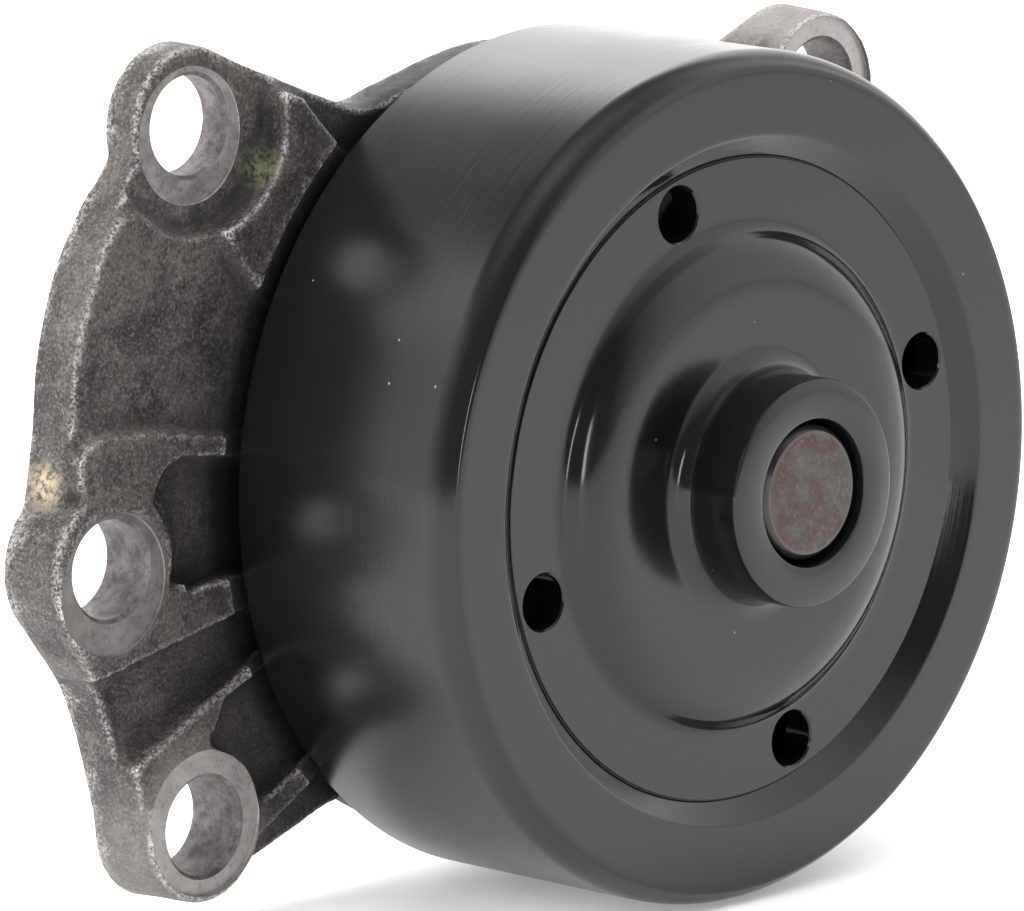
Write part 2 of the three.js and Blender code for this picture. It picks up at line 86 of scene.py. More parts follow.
def opening_centre(name):
    """Middle of a stated opening, in millimetres, as (x, z)."""
    for opening in RECORD["physics"]["openings"]:
        if opening["name"] == name:
            low, high = opening["box_m"]
            return ((low[0] + high[0]) / 2 / MM, (low[2] + high[2]) / 2 / MM)
    raise RuntimeError(f"the record has no opening {name}")


def mount_height(name):
    """How far a mount's face stands in front of the mounting face, in millimetres."""
    for mount in RECORD["mounts"]:
        if mount["name"] == name:
            return -mount["pos_m"][1] / MM
    raise RuntimeError(f"the record has no mount {name}")


LUG_NAMES = ("upper_left", "middle_left", "lower_left", "lower_right", "middle_right", "upper_right")
LUG_OUTER = {"upper_left": 7.0, "middle_left": 7.6, "lower_left": 7.2,
             "lower_right": 7.2, "middle_right": 7.4, "upper_right": 7.4}
SEAT_RADIUS = {"upper_left": 6.3, "middle_left": 6.5, "lower_left": 6.8,
               "lower_right": 6.6, "middle_right": 6.5, "upper_right": 6.7}
# how far a spot-face sits above or below its hole
SEAT_RISE = {"upper_left": -0.9, "middle_left": -1.3, "lower_left": 0.5,
             "lower_right": 0.0, "middle_right": 0.0, "upper_right": 0.0}
LUG_AT = {name: opening_centre(f"{name}_bolt_hole") for name in LUG_NAMES}
SEAT_HEIGHT = {name: mount_height(f"{name}_bolt_seat") for name in LUG_NAMES}

HOUSING_LOW, HOUSING_HIGH = node_box("housing")
PULLEY_LOW, PULLEY_HIGH = node_box("pulley")
SHAFT_FRONT = node_box("bearing_shaft")[0].y
IMPELLER_LOW, IMPELLER_HIGH = node_box("impeller")
FRONT_BALL_LOW, FRONT_BALL_HIGH = node_box("front_ball_1")
REAR_BALL_LOW, REAR_BALL_HIGH = node_box("rear_ball_1")
RING_LOW, RING_HIGH = node_box("bearing_outer_ring")
BELT_RADIUS = PULLEY_HIGH.x
SHAFT_RADIUS = 6.1
TUBE_FRONT = HOUSING_LOW.y
HUB_LENGTH = HOUSING_HIGH.y

# how far the pulley's faces lie behind one another along the shaft
NOSE_TO_RIM = 7.96
RIM_TO_WEB = 1.55
PLATEAU_TO_WEB = 2.67
# clearance at a press fit, step from the bearing's seat to the seal chamber, and metal left for machining
PRESS_GAP = 0.05
SEAL_STEP = 1.6
STOCK = 1.2
BALLS_IN_A_ROW = 8
VANES = 6


# ---- sizes and colours a user may change ----------------------------------------------------------
class PumpHousingSizes(bpy.types.PropertyGroup):
    plate: FloatProperty(
        name="Flange thickness", description="Floor of the flange in front of the mounting face, in mm",
        default=4.2, min=2.0, max=10.0)
    pad: FloatProperty(
        name="Pad height", description="Plain pad beside the pulley, in mm", default=5.0, min=3.0, max=12.0)
    rib: FloatProperty(
        name="Rib height", description="Top of the flange's ribs, in mm", default=6.1, min=3.0, max=12.0)
    pocket: FloatProperty(
        name="Pocket floor", description="Floor of the cored pockets between the ribs, in mm",
        default=3.5, min=1.0, max=8.0)
    draft: FloatProperty(
        name="Draft", description="How far a wall leans in over its height, in mm per mm",
        default=0.06, min=0.0, max=0.3)
    grain: FloatProperty(
        name="Casting grain", description="Remeshing step of the casting, in mm",
        default=0.38, min=0.2, max=1.0)
    softness: IntProperty(
        name="Edge softness", description="Smoothing passes that round the casting's edges",
        default=5, min=0, max=30)
    waviness: FloatProperty(
        name="Waviness", description="Height of the slow unevenness of the cast skin, in mm",
        default=0.07, min=0.0, max=0.5)
    body_radius: FloatProperty(
        name="Flange middle radius", description="Round middle of the flange, in mm",
        default=37.0, min=25.0, max=50.0)
    tube_radius: FloatProperty(
        name="Bearing tube radius", description="Outside of the tube that holds the bearing, in mm",
        default=17.5, min=14.0, max=25.0)
    hub_radius: FloatProperty(
        name="Rear hub radius", description="Outside of the hub that enters the engine, in mm",
        default=18.5, min=15.0, max=28.0)
    bolt_hole: FloatProperty(
        name="Bolt hole radius", description="Radius of the lug holes, in mm", default=4.5, min=2.0, max=8.0)


class PumpPulleySizes(bpy.types.PropertyGroup):
    segments: IntProperty(
        name="Segments", description="Facets round a turned surface", default=256, min=32, max=512)
    wall: FloatProperty(
        name="Wall", description="Thickness of the pulley's steel, in mm", default=3.0, min=1.0, max=6.0)
    rim_round: FloatProperty(
        name="Rim rounding", description="Radius of the belt face's front edge, in mm",
        default=4.1, min=0.5, max=8.0)
    hole_pitch: FloatProperty(
        name="Hole pitch radius", description="Radius of the circle of tool holes, in mm",
        default=26.25, min=15.0, max=34.0)
    hole_radius: FloatProperty(
        name="Tool hole radius", description="Radius of one tool hole, in mm", default=2.55, min=1.0, max=5.0)
    hole_count: IntProperty(
        name="Tool holes", description="Number of tool holes in the web", default=4, min=1, max=12)
    nose_radius: FloatProperty(
        name="Nose radius", description="Radius of the pulley's nose round the shaft, in mm",
        default=10.4, min=8.0, max=15.0)


class PumpFinishes(bpy.types.PropertyGroup):
    casting: StringProperty(
        name="Casting", description="Cast skin of the housing, sRGB hex", default="524D4A")
    casting_dark: StringProperty(
        name="Casting shade", description="Dark patches of the cast skin, sRGB hex", default="2C2A29")
    machined: StringProperty(
        name="Machined aluminium", description="Bolt seats and faces, sRGB hex", default="979492")
    coat: StringProperty(
        name="Electro-coat", description="Black coat of the pulley, sRGB hex", default="0C0C0E")
    rust: StringProperty(
        name="Shaft rust", description="Light rust on the shaft's end, sRGB hex", default="3E2622")


class PumpStageSettings(bpy.types.PropertyGroup):
    azimuth: FloatProperty(
        name="Camera azimuth", description="Camera's turn from straight in front, in degrees",
        default=-46.1, min=-180.0, max=180.0)
    elevation: FloatProperty(
        name="Camera elevation", description="Camera's height above the shaft, in degrees",
        default=10.6, min=-10.0, max=90.0)
    distance: FloatProperty(
        name="Camera distance", description="From the camera to the pump, in m",
        default=0.93, min=0.2, max=5.0, unit="LENGTH")
    lens: FloatProperty(
        name="Lens", description="Focal length on a 36 mm wide sensor, in mm",
        default=357.6, min=20.0, max=800.0)


def sizes():
    return bpy.context.scene.pump_housing


def pulley_sizes():
    return bpy.context.scene.pump_pulley


def finishes():
    return bpy.context.scene.pump_finishes


# ---- mesh helpers, all sizes in millimetres --------------------------------------------------------
def polar(radius, degrees, x=0.0, z=0.0):
    angle = math.radians(degrees)
    return (x + radius * math.cos(angle), z + radius * math.sin(angle))


def arc(x, z, radius, start, end, steps):
    """Points on an arc in the XZ plane, or in a profile's (radius, y) plane."""
    return [polar(radius, start + (end - start) * i / steps, x, z) for i in range(steps + 1)]


def through(points, steps):
    """A smooth line through the points, without its first one."""
    line = []
    for i in range(len(points) - 1):
        p0, p1, p2 = points[max(i - 1, 0)], points[i], points[i + 1]
        p3 = points[min(i + 2, len(points) - 1)]
        for j in range(1, steps + 1):
            t = j / steps
            line.append(tuple(
                0.5 * (2 * b + (c - a) * t + (2 * a - 5 * b + 4 * c - d) * t * t
                       + (3 * b - a - 3 * c + d) * t ** 3)
                for a, b, c, d in zip(p0, p1, p2, p3)))
    return line


def inset(points, distance):
    """The outline moved inwards; the points run anticlockwise."""
    moved = []
    count = len(points)
    for i, (x, z) in enumerate(points):
        x0, z0 = points[i - 1]
        x1, z1 = points[(i + 1) % count]
        length = math.hypot(x1 - x0, z1 - z0) or 1.0
        moved.append((x - (z1 - z0) / length * distance, z + (x1 - x0) / length * distance))
    return moved


def add_prism(bm, outline, rear, front, lean=0.0):
    """A closed slab between two heights in front of the mounting face, its walls leaning in."""
    far = [bm.verts.new((x * MM, -rear * MM, z * MM)) for x, z in outline]
    near = [bm.verts.new((x * MM, -front * MM, z * MM)) for x, z in inset(outline, lean)]
    count = len(outline)
    for i in range(count):
        j = (i + 1) % count
        bm.faces.new((far[i], far[j], near[j], near[i]))
    bm.faces.new(far[::-1])
    bm.faces.new(near)


def add_spun(bm, profile, x=0.0, z=0.0, segments=96):
    """A turned body round a line parallel to the shaft, from (radius, y) points.

    A profile that starts and ends on the axis is closed there, and any other closes on itself."""
    rings = []
    for radius, y in profile:
        if radius < 1e-6:
            rings.append([bm.verts.new((x * MM, y * MM, z * MM))])
            continue
        turn = [polar(radius, 360 * i / segments, x, z) for i in range(segments)]
        rings.append([bm.verts.new((px * MM, y * MM, pz * MM)) for px, pz in turn])
    on_axis = profile[0][0] < 1e-6
    for a, b in zip(rings, rings[1:] + ([] if on_axis else rings[:1])):
        for i in range(segments):
            j = (i + 1) % segments
            corners = [a[i % len(a)], a[j % len(a)], b[j % len(b)], b[i % len(b)]]
            corners = list(dict.fromkeys(corners))
            if len(corners) > 2:
                bm.faces.new(corners)


def rounded(points, radius, closed=True, steps=4):
    """A profile with its corners rounded, each by no more than a third of its shorter side."""
    result = []
    count = len(points)
    for i, point in enumerate(points):
        if not closed and i in (0, count - 1):
            result.append(point)
            continue
        p = Vector(point)
        before = Vector(points[i - 1]) - p
        after = Vector(points[(i + 1) % count]) - p
        angle = before.angle(after, math.pi)
        if angle > math.radians(172):
            result.append(point)
            continue
        reach = min(radius / math.tan(angle / 2), before.length / 3, after.length / 3)
        start = p + before.normalized() * reach
        end = p + after.normalized() * reach
        for k in range(steps + 1):
            t = k / steps
            result.append(tuple((1 - t) ** 2 * start + 2 * t * (1 - t) * p + t * t * end))
    return result


def finish_mesh(name, bm, smooth_angle=32):
    """Turns a bmesh into an object with outward faces and smooth shading up to the angle."""
    bmesh.ops.recalc_face_normals(bm, faces=bm.faces)
    mesh = bpy.data.meshes.new(name)
    bm.to_mesh(mesh)
    bm.free()
    return shown(name, mesh, smooth_angle)


def shown(name, mesh, smooth_angle=32):
    mesh.name = name
    mesh.polygons.foreach_set("use_smooth", [True] * len(mesh.polygons))
    mesh.set_sharp_from_angle(angle=math.radians(smooth_angle))
    obj = bpy.data.objects.new(name, mesh)
    bpy.context.scene.collection.objects.link(obj)
    return obj


def baked(obj, smooth_angle=32):
    """The object with its modifiers applied, as a plain mesh."""
    bpy.context.view_layer.update()
    graph = bpy.context.evaluated_depsgraph_get()
    mesh = bpy.data.meshes.new_from_object(obj.evaluated_get(graph), depsgraph=graph)
    name = obj.name
    old = obj.data
    bpy.data.objects.remove(obj)
    bpy.data.meshes.remove(old)
    return shown(name, mesh, smooth_angle)


def spun(name, profile, material, segments=128, smooth_angle=32):
    bm = bmesh.new()
    add_spun(bm, profile, segments=segments)
    obj = finish_mesh(name, bm, smooth_angle)
    obj.data.materials.append(material)
    return obj


def boolean(obj, tool, operation="DIFFERENCE", smooth_angle=32):
    """Cuts or joins with the tool, whose faces keep the tool's own material, and removes the tool."""
    modifier = obj.modifiers.new("Boolean", "BOOLEAN")
    modifier.operation = operation
    modifier.solver = "EXACT"
    modifier.use_self = True
    modifier.material_mode = "TRANSFER"
    modifier.object = tool
    result = baked(obj, smooth_angle)
    mesh = tool.data
    bpy.data.objects.remove(tool)
    bpy.data.meshes.remove(mesh)
    return result


def place(obj, body, slot, *nodes):
    """The finished piece stands for its CAD nodes and moves with their body."""
    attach(obj, body)
    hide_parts(*nodes)
    return obj


# ---- patterns made with Geometry Nodes ------------------------------------------------------------
def socket_of(tree, name):
    return next(item.identifier for item in tree.interface.items_tree if item.name == name)


def pattern_tree():
    """Repeats a mesh round the shaft axis, evenly spaced."""
    found = bpy.data.node_groups.get("Round The Shaft")
    if found:
        return found
    tree = bpy.data.node_groups.new("Round The Shaft", "GeometryNodeTree")
    tree.interface.new_socket("Geometry", in_out="INPUT", socket_type="NodeSocketGeometry")
    tree.interface.new_socket("Count", in_out="INPUT", socket_type="NodeSocketInt")
    tree.interface.new_socket("Material", in_out="INPUT", socket_type="NodeSocketMaterial")
    tree.interface.new_socket("Geometry", in_out="OUTPUT", socket_type="NodeSocketGeometry")
    given = node(tree, "NodeGroupInput")
    places = node(tree, "GeometryNodeMeshLine", {"Count": given.outputs["Count"], "Offset": (0, 0, 0)})
    index = node(tree, "GeometryNodeInputIndex")
    share = node(tree, "ShaderNodeMath", {0: index.outputs[0], 1: given.outputs["Count"]}, operation="DIVIDE")
    turn = node(tree, "ShaderNodeMath", {0: share.outputs[0], 1: 2 * math.pi}, operation="MULTIPLY")
    spin = node(tree, "ShaderNodeCombineXYZ", {"Y": turn.outputs[0]})
    copies = node(tree, "GeometryNodeInstanceOnPoints", {
        "Points": places.outputs[0], "Instance": given.outputs["Geometry"], "Rotation": spin.outputs[0]})
    real = node(tree, "GeometryNodeRealizeInstances", {"Geometry": copies.outputs[0]})
    coloured = node(tree, "GeometryNodeSetMaterial", {
        "Geometry": real.outputs[0], "Material": given.outputs["Material"]})
    node(tree, "NodeGroupOutput", {0: coloured.outputs[0]})
    return tree


def repeated(obj, count, material, smooth_angle=32):
    """The object repeated round the shaft, as one plain mesh."""
    tree = pattern_tree()
    modifier = obj.modifiers.new("Pattern", "NODES")
    modifier.node_group = tree
    modifier[socket_of(tree, "Count")] = count
    modifier[socket_of(tree, "Material")] = material
    return baked(obj, smooth_angle)


def spring_tree():
    """A coil of round wire along the shaft."""
    tree = bpy.data.node_groups.new("Coil Spring", "GeometryNodeTree")
    tree.interface.new_socket("Geometry", in_out="INPUT", socket_type="NodeSocketGeometry")
    for name in ("Radius", "Height", "Wire", "Turns"):
        tree.interface.new_socket(name, in_out="INPUT", socket_type="NodeSocketFloat")
    tree.interface.new_socket("Material", in_out="INPUT", socket_type="NodeSocketMaterial")
    tree.interface.new_socket("Geometry", in_out="OUTPUT", socket_type="NodeSocketGeometry")
    given = node(tree, "NodeGroupInput")
    coil = node(tree, "GeometryNodeCurveSpiral", {
        "Resolution": 48, "Rotations": given.outputs["Turns"], "Start Radius": given.outputs["Radius"],
        "End Radius": given.outputs["Radius"], "Height": given.outputs["Height"]})
    wire = node(tree, "GeometryNodeCurvePrimitiveCircle", {
        "Resolution": 16, "Radius": given.outputs["Wire"]}, mode="RADIUS")
    swept = node(tree, "GeometryNodeCurveToMesh", {
        "Curve": coil.outputs[0], "Profile Curve": wire.outputs[0], "Fill Caps": True})
    laid = node(tree, "GeometryNodeTransform", {
        "Geometry": swept.outputs[0], "Rotation": (-math.pi / 2, 0, 0)})
    real = node(tree, "GeometryNodeRealizeInstances", {"Geometry": laid.outputs[0]})
    coloured = node(tree, "GeometryNodeSetMaterial", {
        "Geometry": real.outputs[0], "Material": given.outputs["Material"]})
    node(tree, "NodeGroupOutput", {0: coloured.outputs[0]})
    return tree


# ---- materials ------------------------------------------------------------------------------------
def node(tree, kind, inputs=None, **settings):
    """Adds a node with its settings, and sets or links its inputs."""
    made = tree.nodes.new(kind)
    for name, value in settings.items():
        setattr(made, name, value)
    for key, value in (inputs or {}).items():
        if isinstance(value, bpy.types.NodeSocket):
            tree.links.new(value, made.inputs[key])
        else:
            made.inputs[key].default_value = value
    return made


def linear(hex_colour):
    """An sRGB hex colour as linear RGBA."""
    channels = [int(hex_colour[i:i + 2], 16) / 255 for i in (0, 2, 4)]
    return tuple(c / 12.92 if c <= 0.04045 else ((c + 0.055) / 1.055) ** 2.4 for c in channels) + (1.0,)


def new_material(name):
    """An empty node material with its shader, its output and object coordinates in millimetres."""
    material = bpy.data.materials.new(name)
    material.use_nodes = True
    tree = material.node_tree
    tree.nodes.clear()
    shader = node(tree, "ShaderNodeBsdfPrincipled")
    node(tree, "ShaderNodeOutputMaterial", {"Surface": shader.outputs[0]})
    place_at = node(tree, "ShaderNodeTexCoord")
    in_mm = node(tree, "ShaderNodeVectorMath", {0: place_at.outputs["Object"], 1: (1 / MM,) * 3},
                 operation="MULTIPLY")
    return material, tree, shader, in_mm.outputs[0]


def blotches(tree, where, size_mm, detail=4.0, roughness=0.55):
    """Noise whose patches are about size_mm across."""
    return node(tree, "ShaderNodeTexNoise", {
        "Vector": where, "Scale": 1 / size_mm, "Detail": detail, "Roughness": roughness}).outputs["Fac"]


def ramp(tree, factor, low, high, from_value=0.0, to_value=1.0):
    """A value stretched from one range to another and held at its ends."""
    return node(tree, "ShaderNodeMapRange", {
        "Value": factor, "From Min": low, "From Max": high,
        "To Min": from_value, "To Max": to_value}).outputs[0]


def colour_mix(tree, factor, a, b):
    """A mix of two colours; 0, 6 and 7 are the node's factor and its two colour sockets."""
    return node(tree, "ShaderNodeMix", {0: factor, 6: a, 7: b}, data_type="RGBA").outputs[2]


def bump(tree, shader, height, distance_mm, strength):
    made = node(tree, "ShaderNodeBump", {
        "Height": height, "Distance": distance_mm * MM, "Strength": strength})
    tree.links.new(made.outputs[0], shader.inputs["Normal"])


def attribute(tree, name):
    return node(tree, "ShaderNodeAttribute", attribute_name=name).outputs["Fac"]


def radius_of(tree, where):
    """Distance from the shaft axis, in millimetres."""
    parts = node(tree, "ShaderNodeSeparateXYZ", {"Vector": where})
    flat = node(tree, "ShaderNodeCombineXYZ", {"X": parts.outputs["X"], "Y": parts.outputs["Z"]})
    return node(tree, "ShaderNodeVectorMath", {0: flat.outputs[0]}, operation="LENGTH").outputs["Value"]


def times(tree, a, b):
    return node(tree, "ShaderNodeMath", {0: a, 1: b}, operation="MULTIPLY").outputs[0]


def plus(tree, a, b):
    return node(tree, "ShaderNodeMath", {0: a, 1: b}, operation="ADD").outputs[0]


def along_shaft(tree, where):
    return node(tree, "ShaderNodeSeparateXYZ", {"Vector": where}).outputs["Y"]


# dried deposits: place and reach in mm, and colour
DEPOSITS = {
    "lime at the flange's edge": ((-58.6, -2.2, 3.6), 2.6, "B0A084"),
    "lime in the middle left hole": ((-54.0, -1.6, -8.6), 2.2, "B0A084"),
    "algae beside the upper left lug": ((-33.6, -4.6, 29.5), 2.4, "6A7050"),
}


def with_deposits(tree, where, base, grit):
    """The base colour with ragged patches of dried deposit."""
    for at, reach, colour in DEPOSITS.values():
        apart = node(tree, "ShaderNodeVectorMath", {0: where, 1: at}, operation="DISTANCE").outputs["Value"]
        patch = times(tree, ramp(tree, apart, 0.3 * reach, reach, 0.9, 0.0), ramp(tree, grit, 0.44, 0.54))
        base = colour_mix(tree, patch, base, linear(colour))
    return base


def shadow_behind_pulley(tree, where):
    """How much painted shadow of the pulley darkens the skin in the gap behind the pulley's edge."""
    return times(tree, ramp(tree, radius_of(tree, where), BELT_RADIUS - 0.4, BELT_RADIUS + 1.4, 0.9, 0.0),
                 ramp(tree, along_shaft(tree, where), -3.0, -2.0, 1.0, 0.0))


# lugs tinted brighter or darker than the rest: amount and colour
LUG_TINTS = {"lower_left": (0.16, "A8A3A0"), "upper_right": (0.35, "A8A3A0"), "middle_left": (0.45, "4A4543")}


def tinted_lugs(tree, where, base, names):
    """The base colour, mixed with another one round some of the lugs."""
    for name in names:
        amount, colour = LUG_TINTS[name]
        x, z = LUG_AT[name]
        from_lug = node(tree, "ShaderNodeVectorMath", {0: where, 1: (x, 0, z)}, operation="SUBTRACT")
        near = ramp(tree, radius_of(tree, from_lug.outputs[0]), 7.2, 9.2, amount, 0.0)
        base = colour_mix(tree, near, base, linear(colour))
    return base


def die_cast_aluminium():
    """High-pressure die-cast aluminium, shot and left bare: a dull grey skin with a fine sandy grit,
    flow patches, painted shade in the corners and round and behind the pulley, and brighter edges that are
    partly rubbed metal and partly painted highlight."""
    material, tree, shader, where = new_material("Die-Cast Aluminium")
    sand = blotches(tree, where, 0.30, 3.0, 0.8)
    grit = blotches(tree, where, 0.9, 6.0, 0.8)
    cloud = blotches(tree, where, 6.0, 5.0, 0.62)
    stain = blotches(tree, where, 2.4, 6.0, 0.72)
    base = colour_mix(tree, ramp(tree, cloud, 0.38, 0.62), linear(finishes().casting_dark),
                      linear(finishes().casting))
    base = colour_mix(tree, ramp(tree, stain, 0.5, 0.72, 0.0, 0.5), base, linear("78736F"))
    base = colour_mix(tree, ramp(tree, grit, 0.38, 0.5, 0.75, 0.0), base, linear("1E1B1A"))
    base = colour_mix(tree, ramp(tree, sand, 0.5, 0.68, 0.0, 0.42), base, linear("908A86"))
    base = colour_mix(tree, ramp(tree, sand, 0.30, 0.46, 0.6, 0.0), base, linear("1A1817"))
    # painted shade: the skin is darkened towards 171514 in corners, by the recess attribute, broken up by the
    # stain noise
    deep = times(tree, attribute(tree, "recess"), ramp(tree, stain, 0.38, 0.56, 0.3, 0.8))
    base = colour_mix(tree, deep, base, linear("171514"))
    base = tinted_lugs(tree, where, base, ("lower_left", "upper_right"))
    # painted shade: the skin is darker in a ring reaching 10 mm out from the pulley's rim
    shade_round_pulley = ramp(tree, radius_of(tree, where), BELT_RADIUS, BELT_RADIUS + 10.0, 0.6, 0.0)
    base = colour_mix(tree, shade_round_pulley, base, linear("1C1A19"))
    # painted shadow of the pulley on the skin behind its edge
    base = colour_mix(tree, shadow_behind_pulley(tree, where), base, linear("0C0B0B"))
    # brighter edges, partly rubbed metal and partly painted highlight; none on edges inside the pulley's
    # radius, where its shade falls
    edge_wear_and_highlight = times(tree, attribute(tree, "edge"), ramp(tree, sand, 0.44, 0.56, 0.05, 0.95))
    edge_wear_and_highlight = times(tree, edge_wear_and_highlight, ramp(tree, radius_of(tree, where), BELT_RADIUS - 4.0, BELT_RADIUS - 1.0))
    base = colour_mix(tree, edge_wear_and_highlight, base, linear("BEBAB7"))
    base = with_deposits(tree, where, base, grit)
    tree.links.new(base, shader.inputs["Base Color"])
    shader.inputs["Metallic"].default_value = 0.45
    tree.links.new(ramp(tree, stain, 0.3, 0.7, 0.46, 0.68), shader.inputs["Roughness"])
    bump(tree, shader, plus(tree, grit, times(tree, sand, 0.5)), 0.2, 0.9)
    return material


def machined_aluminium():
    """The same aluminium milled or spot-faced: smoother and brighter, with small pores and stains."""
    material, tree, shader, where = new_material("Machined Aluminium")
    cloud = blotches(tree, where, 2.5, 5.0, 0.65)
    grit = blotches(tree, where, 0.5, 4.0, 0.7)
    base = colour_mix(tree, ramp(tree, cloud, 0.36, 0.64), linear("7C7876"), linear(finishes().machined))
    base = colour_mix(tree, ramp(tree, grit, 0.34, 0.48, 0.45, 0.0), base, linear("35312F"))
    base = tinted_lugs(tree, where, base, LUG_TINTS)
    tree.links.new(base, shader.inputs["Base Color"])
    shader.inputs["Metallic"].default_value = 0.6
    tree.links.new(ramp(tree, cloud, 0.3, 0.7, 0.36, 0.54), shader.inputs["Roughness"])
    bump(tree, shader, grit, 0.06, 0.7)
    return material


def drilled_aluminium():
    """The inside of the bolt holes: the same metal, dulled by road dirt, with dried lime in one of them."""
    material, tree, shader, where = new_material("Drilled Aluminium")
    patch = blotches(tree, where, 2.2, 6.0, 0.7)
    grit = blotches(tree, where, 0.6, 5.0, 0.8)
    base = colour_mix(tree, ramp(tree, patch, 0.38, 0.62), linear("423D3A"), linear("757070"))
    base = colour_mix(tree, ramp(tree, grit, 0.36, 0.48, 0.6, 0.0), base, linear("1F1B1A"))
    base = with_deposits(tree, where, base, grit)
    tree.links.new(base, shader.inputs["Base Color"])
    shader.inputs["Metallic"].default_value = 0.3
    shader.inputs["Roughness"].default_value = 0.5
    bump(tree, shader, grit, 0.08, 0.8)
    return material


def black_electrocoat():
    """Turned steel under a thin glossy black electro-coat: near black, with faint turning rings that
    show through it, a slightly uneven gloss and a few specks of dust."""
    material, tree, shader, where = new_material("Black Electro-Coat")
    radius = radius_of(tree, where)
    along = along_shaft(tree, where)
    across = node(tree, "ShaderNodeMath", {0: radius, 1: along}, operation="SUBTRACT").outputs[0]
    rings = node(tree, "ShaderNodeTexNoise", {"W": across, "Scale": 2.0, "Detail": 6.0, "Roughness": 0.75},
                 noise_dimensions="1D").outputs["Fac"]
    cloud = blotches(tree, where, 9.0, 3.0, 0.5)
    dust = node(tree, "ShaderNodeTexVoronoi", {"Vector": where, "Scale": 0.22, "Randomness": 1.0})
    specks = ramp(tree, dust.outputs["Distance"], 0.014, 0.034, 1.0, 0.0)
    base = colour_mix(tree, specks, linear(finishes().coat), linear("6A6A6C"))
    tree.links.new(base, shader.inputs["Base Color"])
    shader.inputs["IOR"].default_value = 1.42
    belt_face = ramp(tree, radius, BELT_RADIUS - 1.2, BELT_RADIUS - 0.3, 0.0, 0.09)
    gloss = plus(tree, ramp(tree, cloud, 0.3, 0.7, 0.08, 0.13), belt_face)
    tree.links.new(plus(tree, gloss, ramp(tree, rings, 0.3, 0.7, 0.0, 0.06)), shader.inputs["Roughness"])
    grain = ramp(tree, blotches(tree, where, 0.5, 3.0, 0.6), 0.0, 1.0, 0.0, 0.5)
    bump(tree, shader, plus(tree, rings, grain), 0.007, 0.8)
    return material


def rusted_ground_steel():
    """Ground bearing steel: a grey ring of turned metal at the edge of the end face, and a light
    red-brown bloom of rust inside it."""
    material, tree, shader, where = new_material("Ground Steel With Rust")
    radius = radius_of(tree, where)
    along = along_shaft(tree, where)
    on_end = ramp(tree, along, SHAFT_FRONT + 0.1, SHAFT_FRONT + 0.5, 1.0, 0.0)
    inside = ramp(tree, radius, SHAFT_RADIUS - 0.9, SHAFT_RADIUS - 0.5, 1.0, 0.0)
    patch = blotches(tree, where, 1.8, 6.0, 0.75)
    fleck = blotches(tree, where, 0.6, 5.0, 0.8)
    amount = times(tree, times(tree, on_end, inside), ramp(tree, patch, 0.25, 0.55, 0.45, 1.0))
    wide = blotches(tree, where, 4.2, 3.0, 0.6)
    rust = colour_mix(tree, ramp(tree, wide, 0.42, 0.56), linear("403C3A"), linear(finishes().rust))
    rust = colour_mix(tree, ramp(tree, fleck, 0.55, 0.68, 0.0, 0.6), rust, linear("6A605B"))
    rust = colour_mix(tree, ramp(tree, fleck, 0.36, 0.46, 0.6, 0.0), rust, linear("2A1E1B"))
    base = colour_mix(tree, amount, linear("4F4C4B"), rust)
    # painted shade: the shaft's outer edge inside the gap round it is painted the coat's black, and not
    # metallic; bare is the rest
    gap_shade = times(tree, ramp(tree, radius, SHAFT_RADIUS - 0.55, SHAFT_RADIUS - 0.45, 0.0, 1.0),
                   ramp(tree, along, SHAFT_FRONT + 6.0, SHAFT_FRONT + 6.4, 1.0, 0.0))
    base = colour_mix(tree, gap_shade, base, linear(finishes().coat))
    tree.links.new(base, shader.inputs["Base Color"])
    bare = node(tree, "ShaderNodeMath", {0: 1.0, 1: gap_shade}, operation="SUBTRACT").outputs[0]
    tree.links.new(times(tree, bare, ramp(tree, amount, 0.0, 1.0, 0.95, 0.35)), shader.inputs["Metallic"])
    tree.links.new(ramp(tree, amount, 0.0, 1.0, 0.3, 0.62), shader.inputs["Roughness"])
    bump(tree, shader, patch, 0.03, 0.6)
    return material


# dark and light colour, metallic, roughness, size of the patches and height of the relief in mm
PLAIN_FINISHES = {
    # polished through-hardened balls: bright and almost mirror smooth
    "Polished Bearing Steel": ("B4B6BA", "C8CACE", 1.0, 0.08, 4.0, 0.01),
    # ground rings: bright grey with a fine satin
    "Ground Bearing Steel": ("8C8D90", "A4A5A8", 1.0, 0.25, 1.5, 0.01),
    # glass-filled cage: warm brown and slightly rough
    "Moulded Polyamide": ("4A3C28", "5E4D34", 0.0, 0.55, 0.8, 0.02),
    # seal lips and bellows: soft black with a faint bloom
    "Nitrile Rubber": ("161616", "242423", 0.0, 0.62, 0.9, 0.02),
    # deep-drawn cup: yellow metal with dull patches
    "Drawn Brass": ("9A7A3A", "BC9A55", 1.0, 0.3, 2.0, 0.01),
    # spring and collar: bright drawn stainless
    "Stainless Wire": ("9A9B9E", "B4B5B8", 1.0, 0.22, 1.0, 0.01),
    # lapped carbon graphite: dark grey with a dull sheen
    "Carbon Graphite": ("242426", "303033", 0.0, 0.4, 0.6, 0.01),
    # lapped silicon carbide: very dark and smooth
    "Silicon Carbide": ("3A3B40", "4A4B50", 0.0, 0.18, 0.8, 0.01),
    # pressed sheet: satin grey with rolling unevenness
    "Pressed Stainless": ("8C8E92", "9C9EA2", 1.0, 0.36, 1.2, 0.01),
}


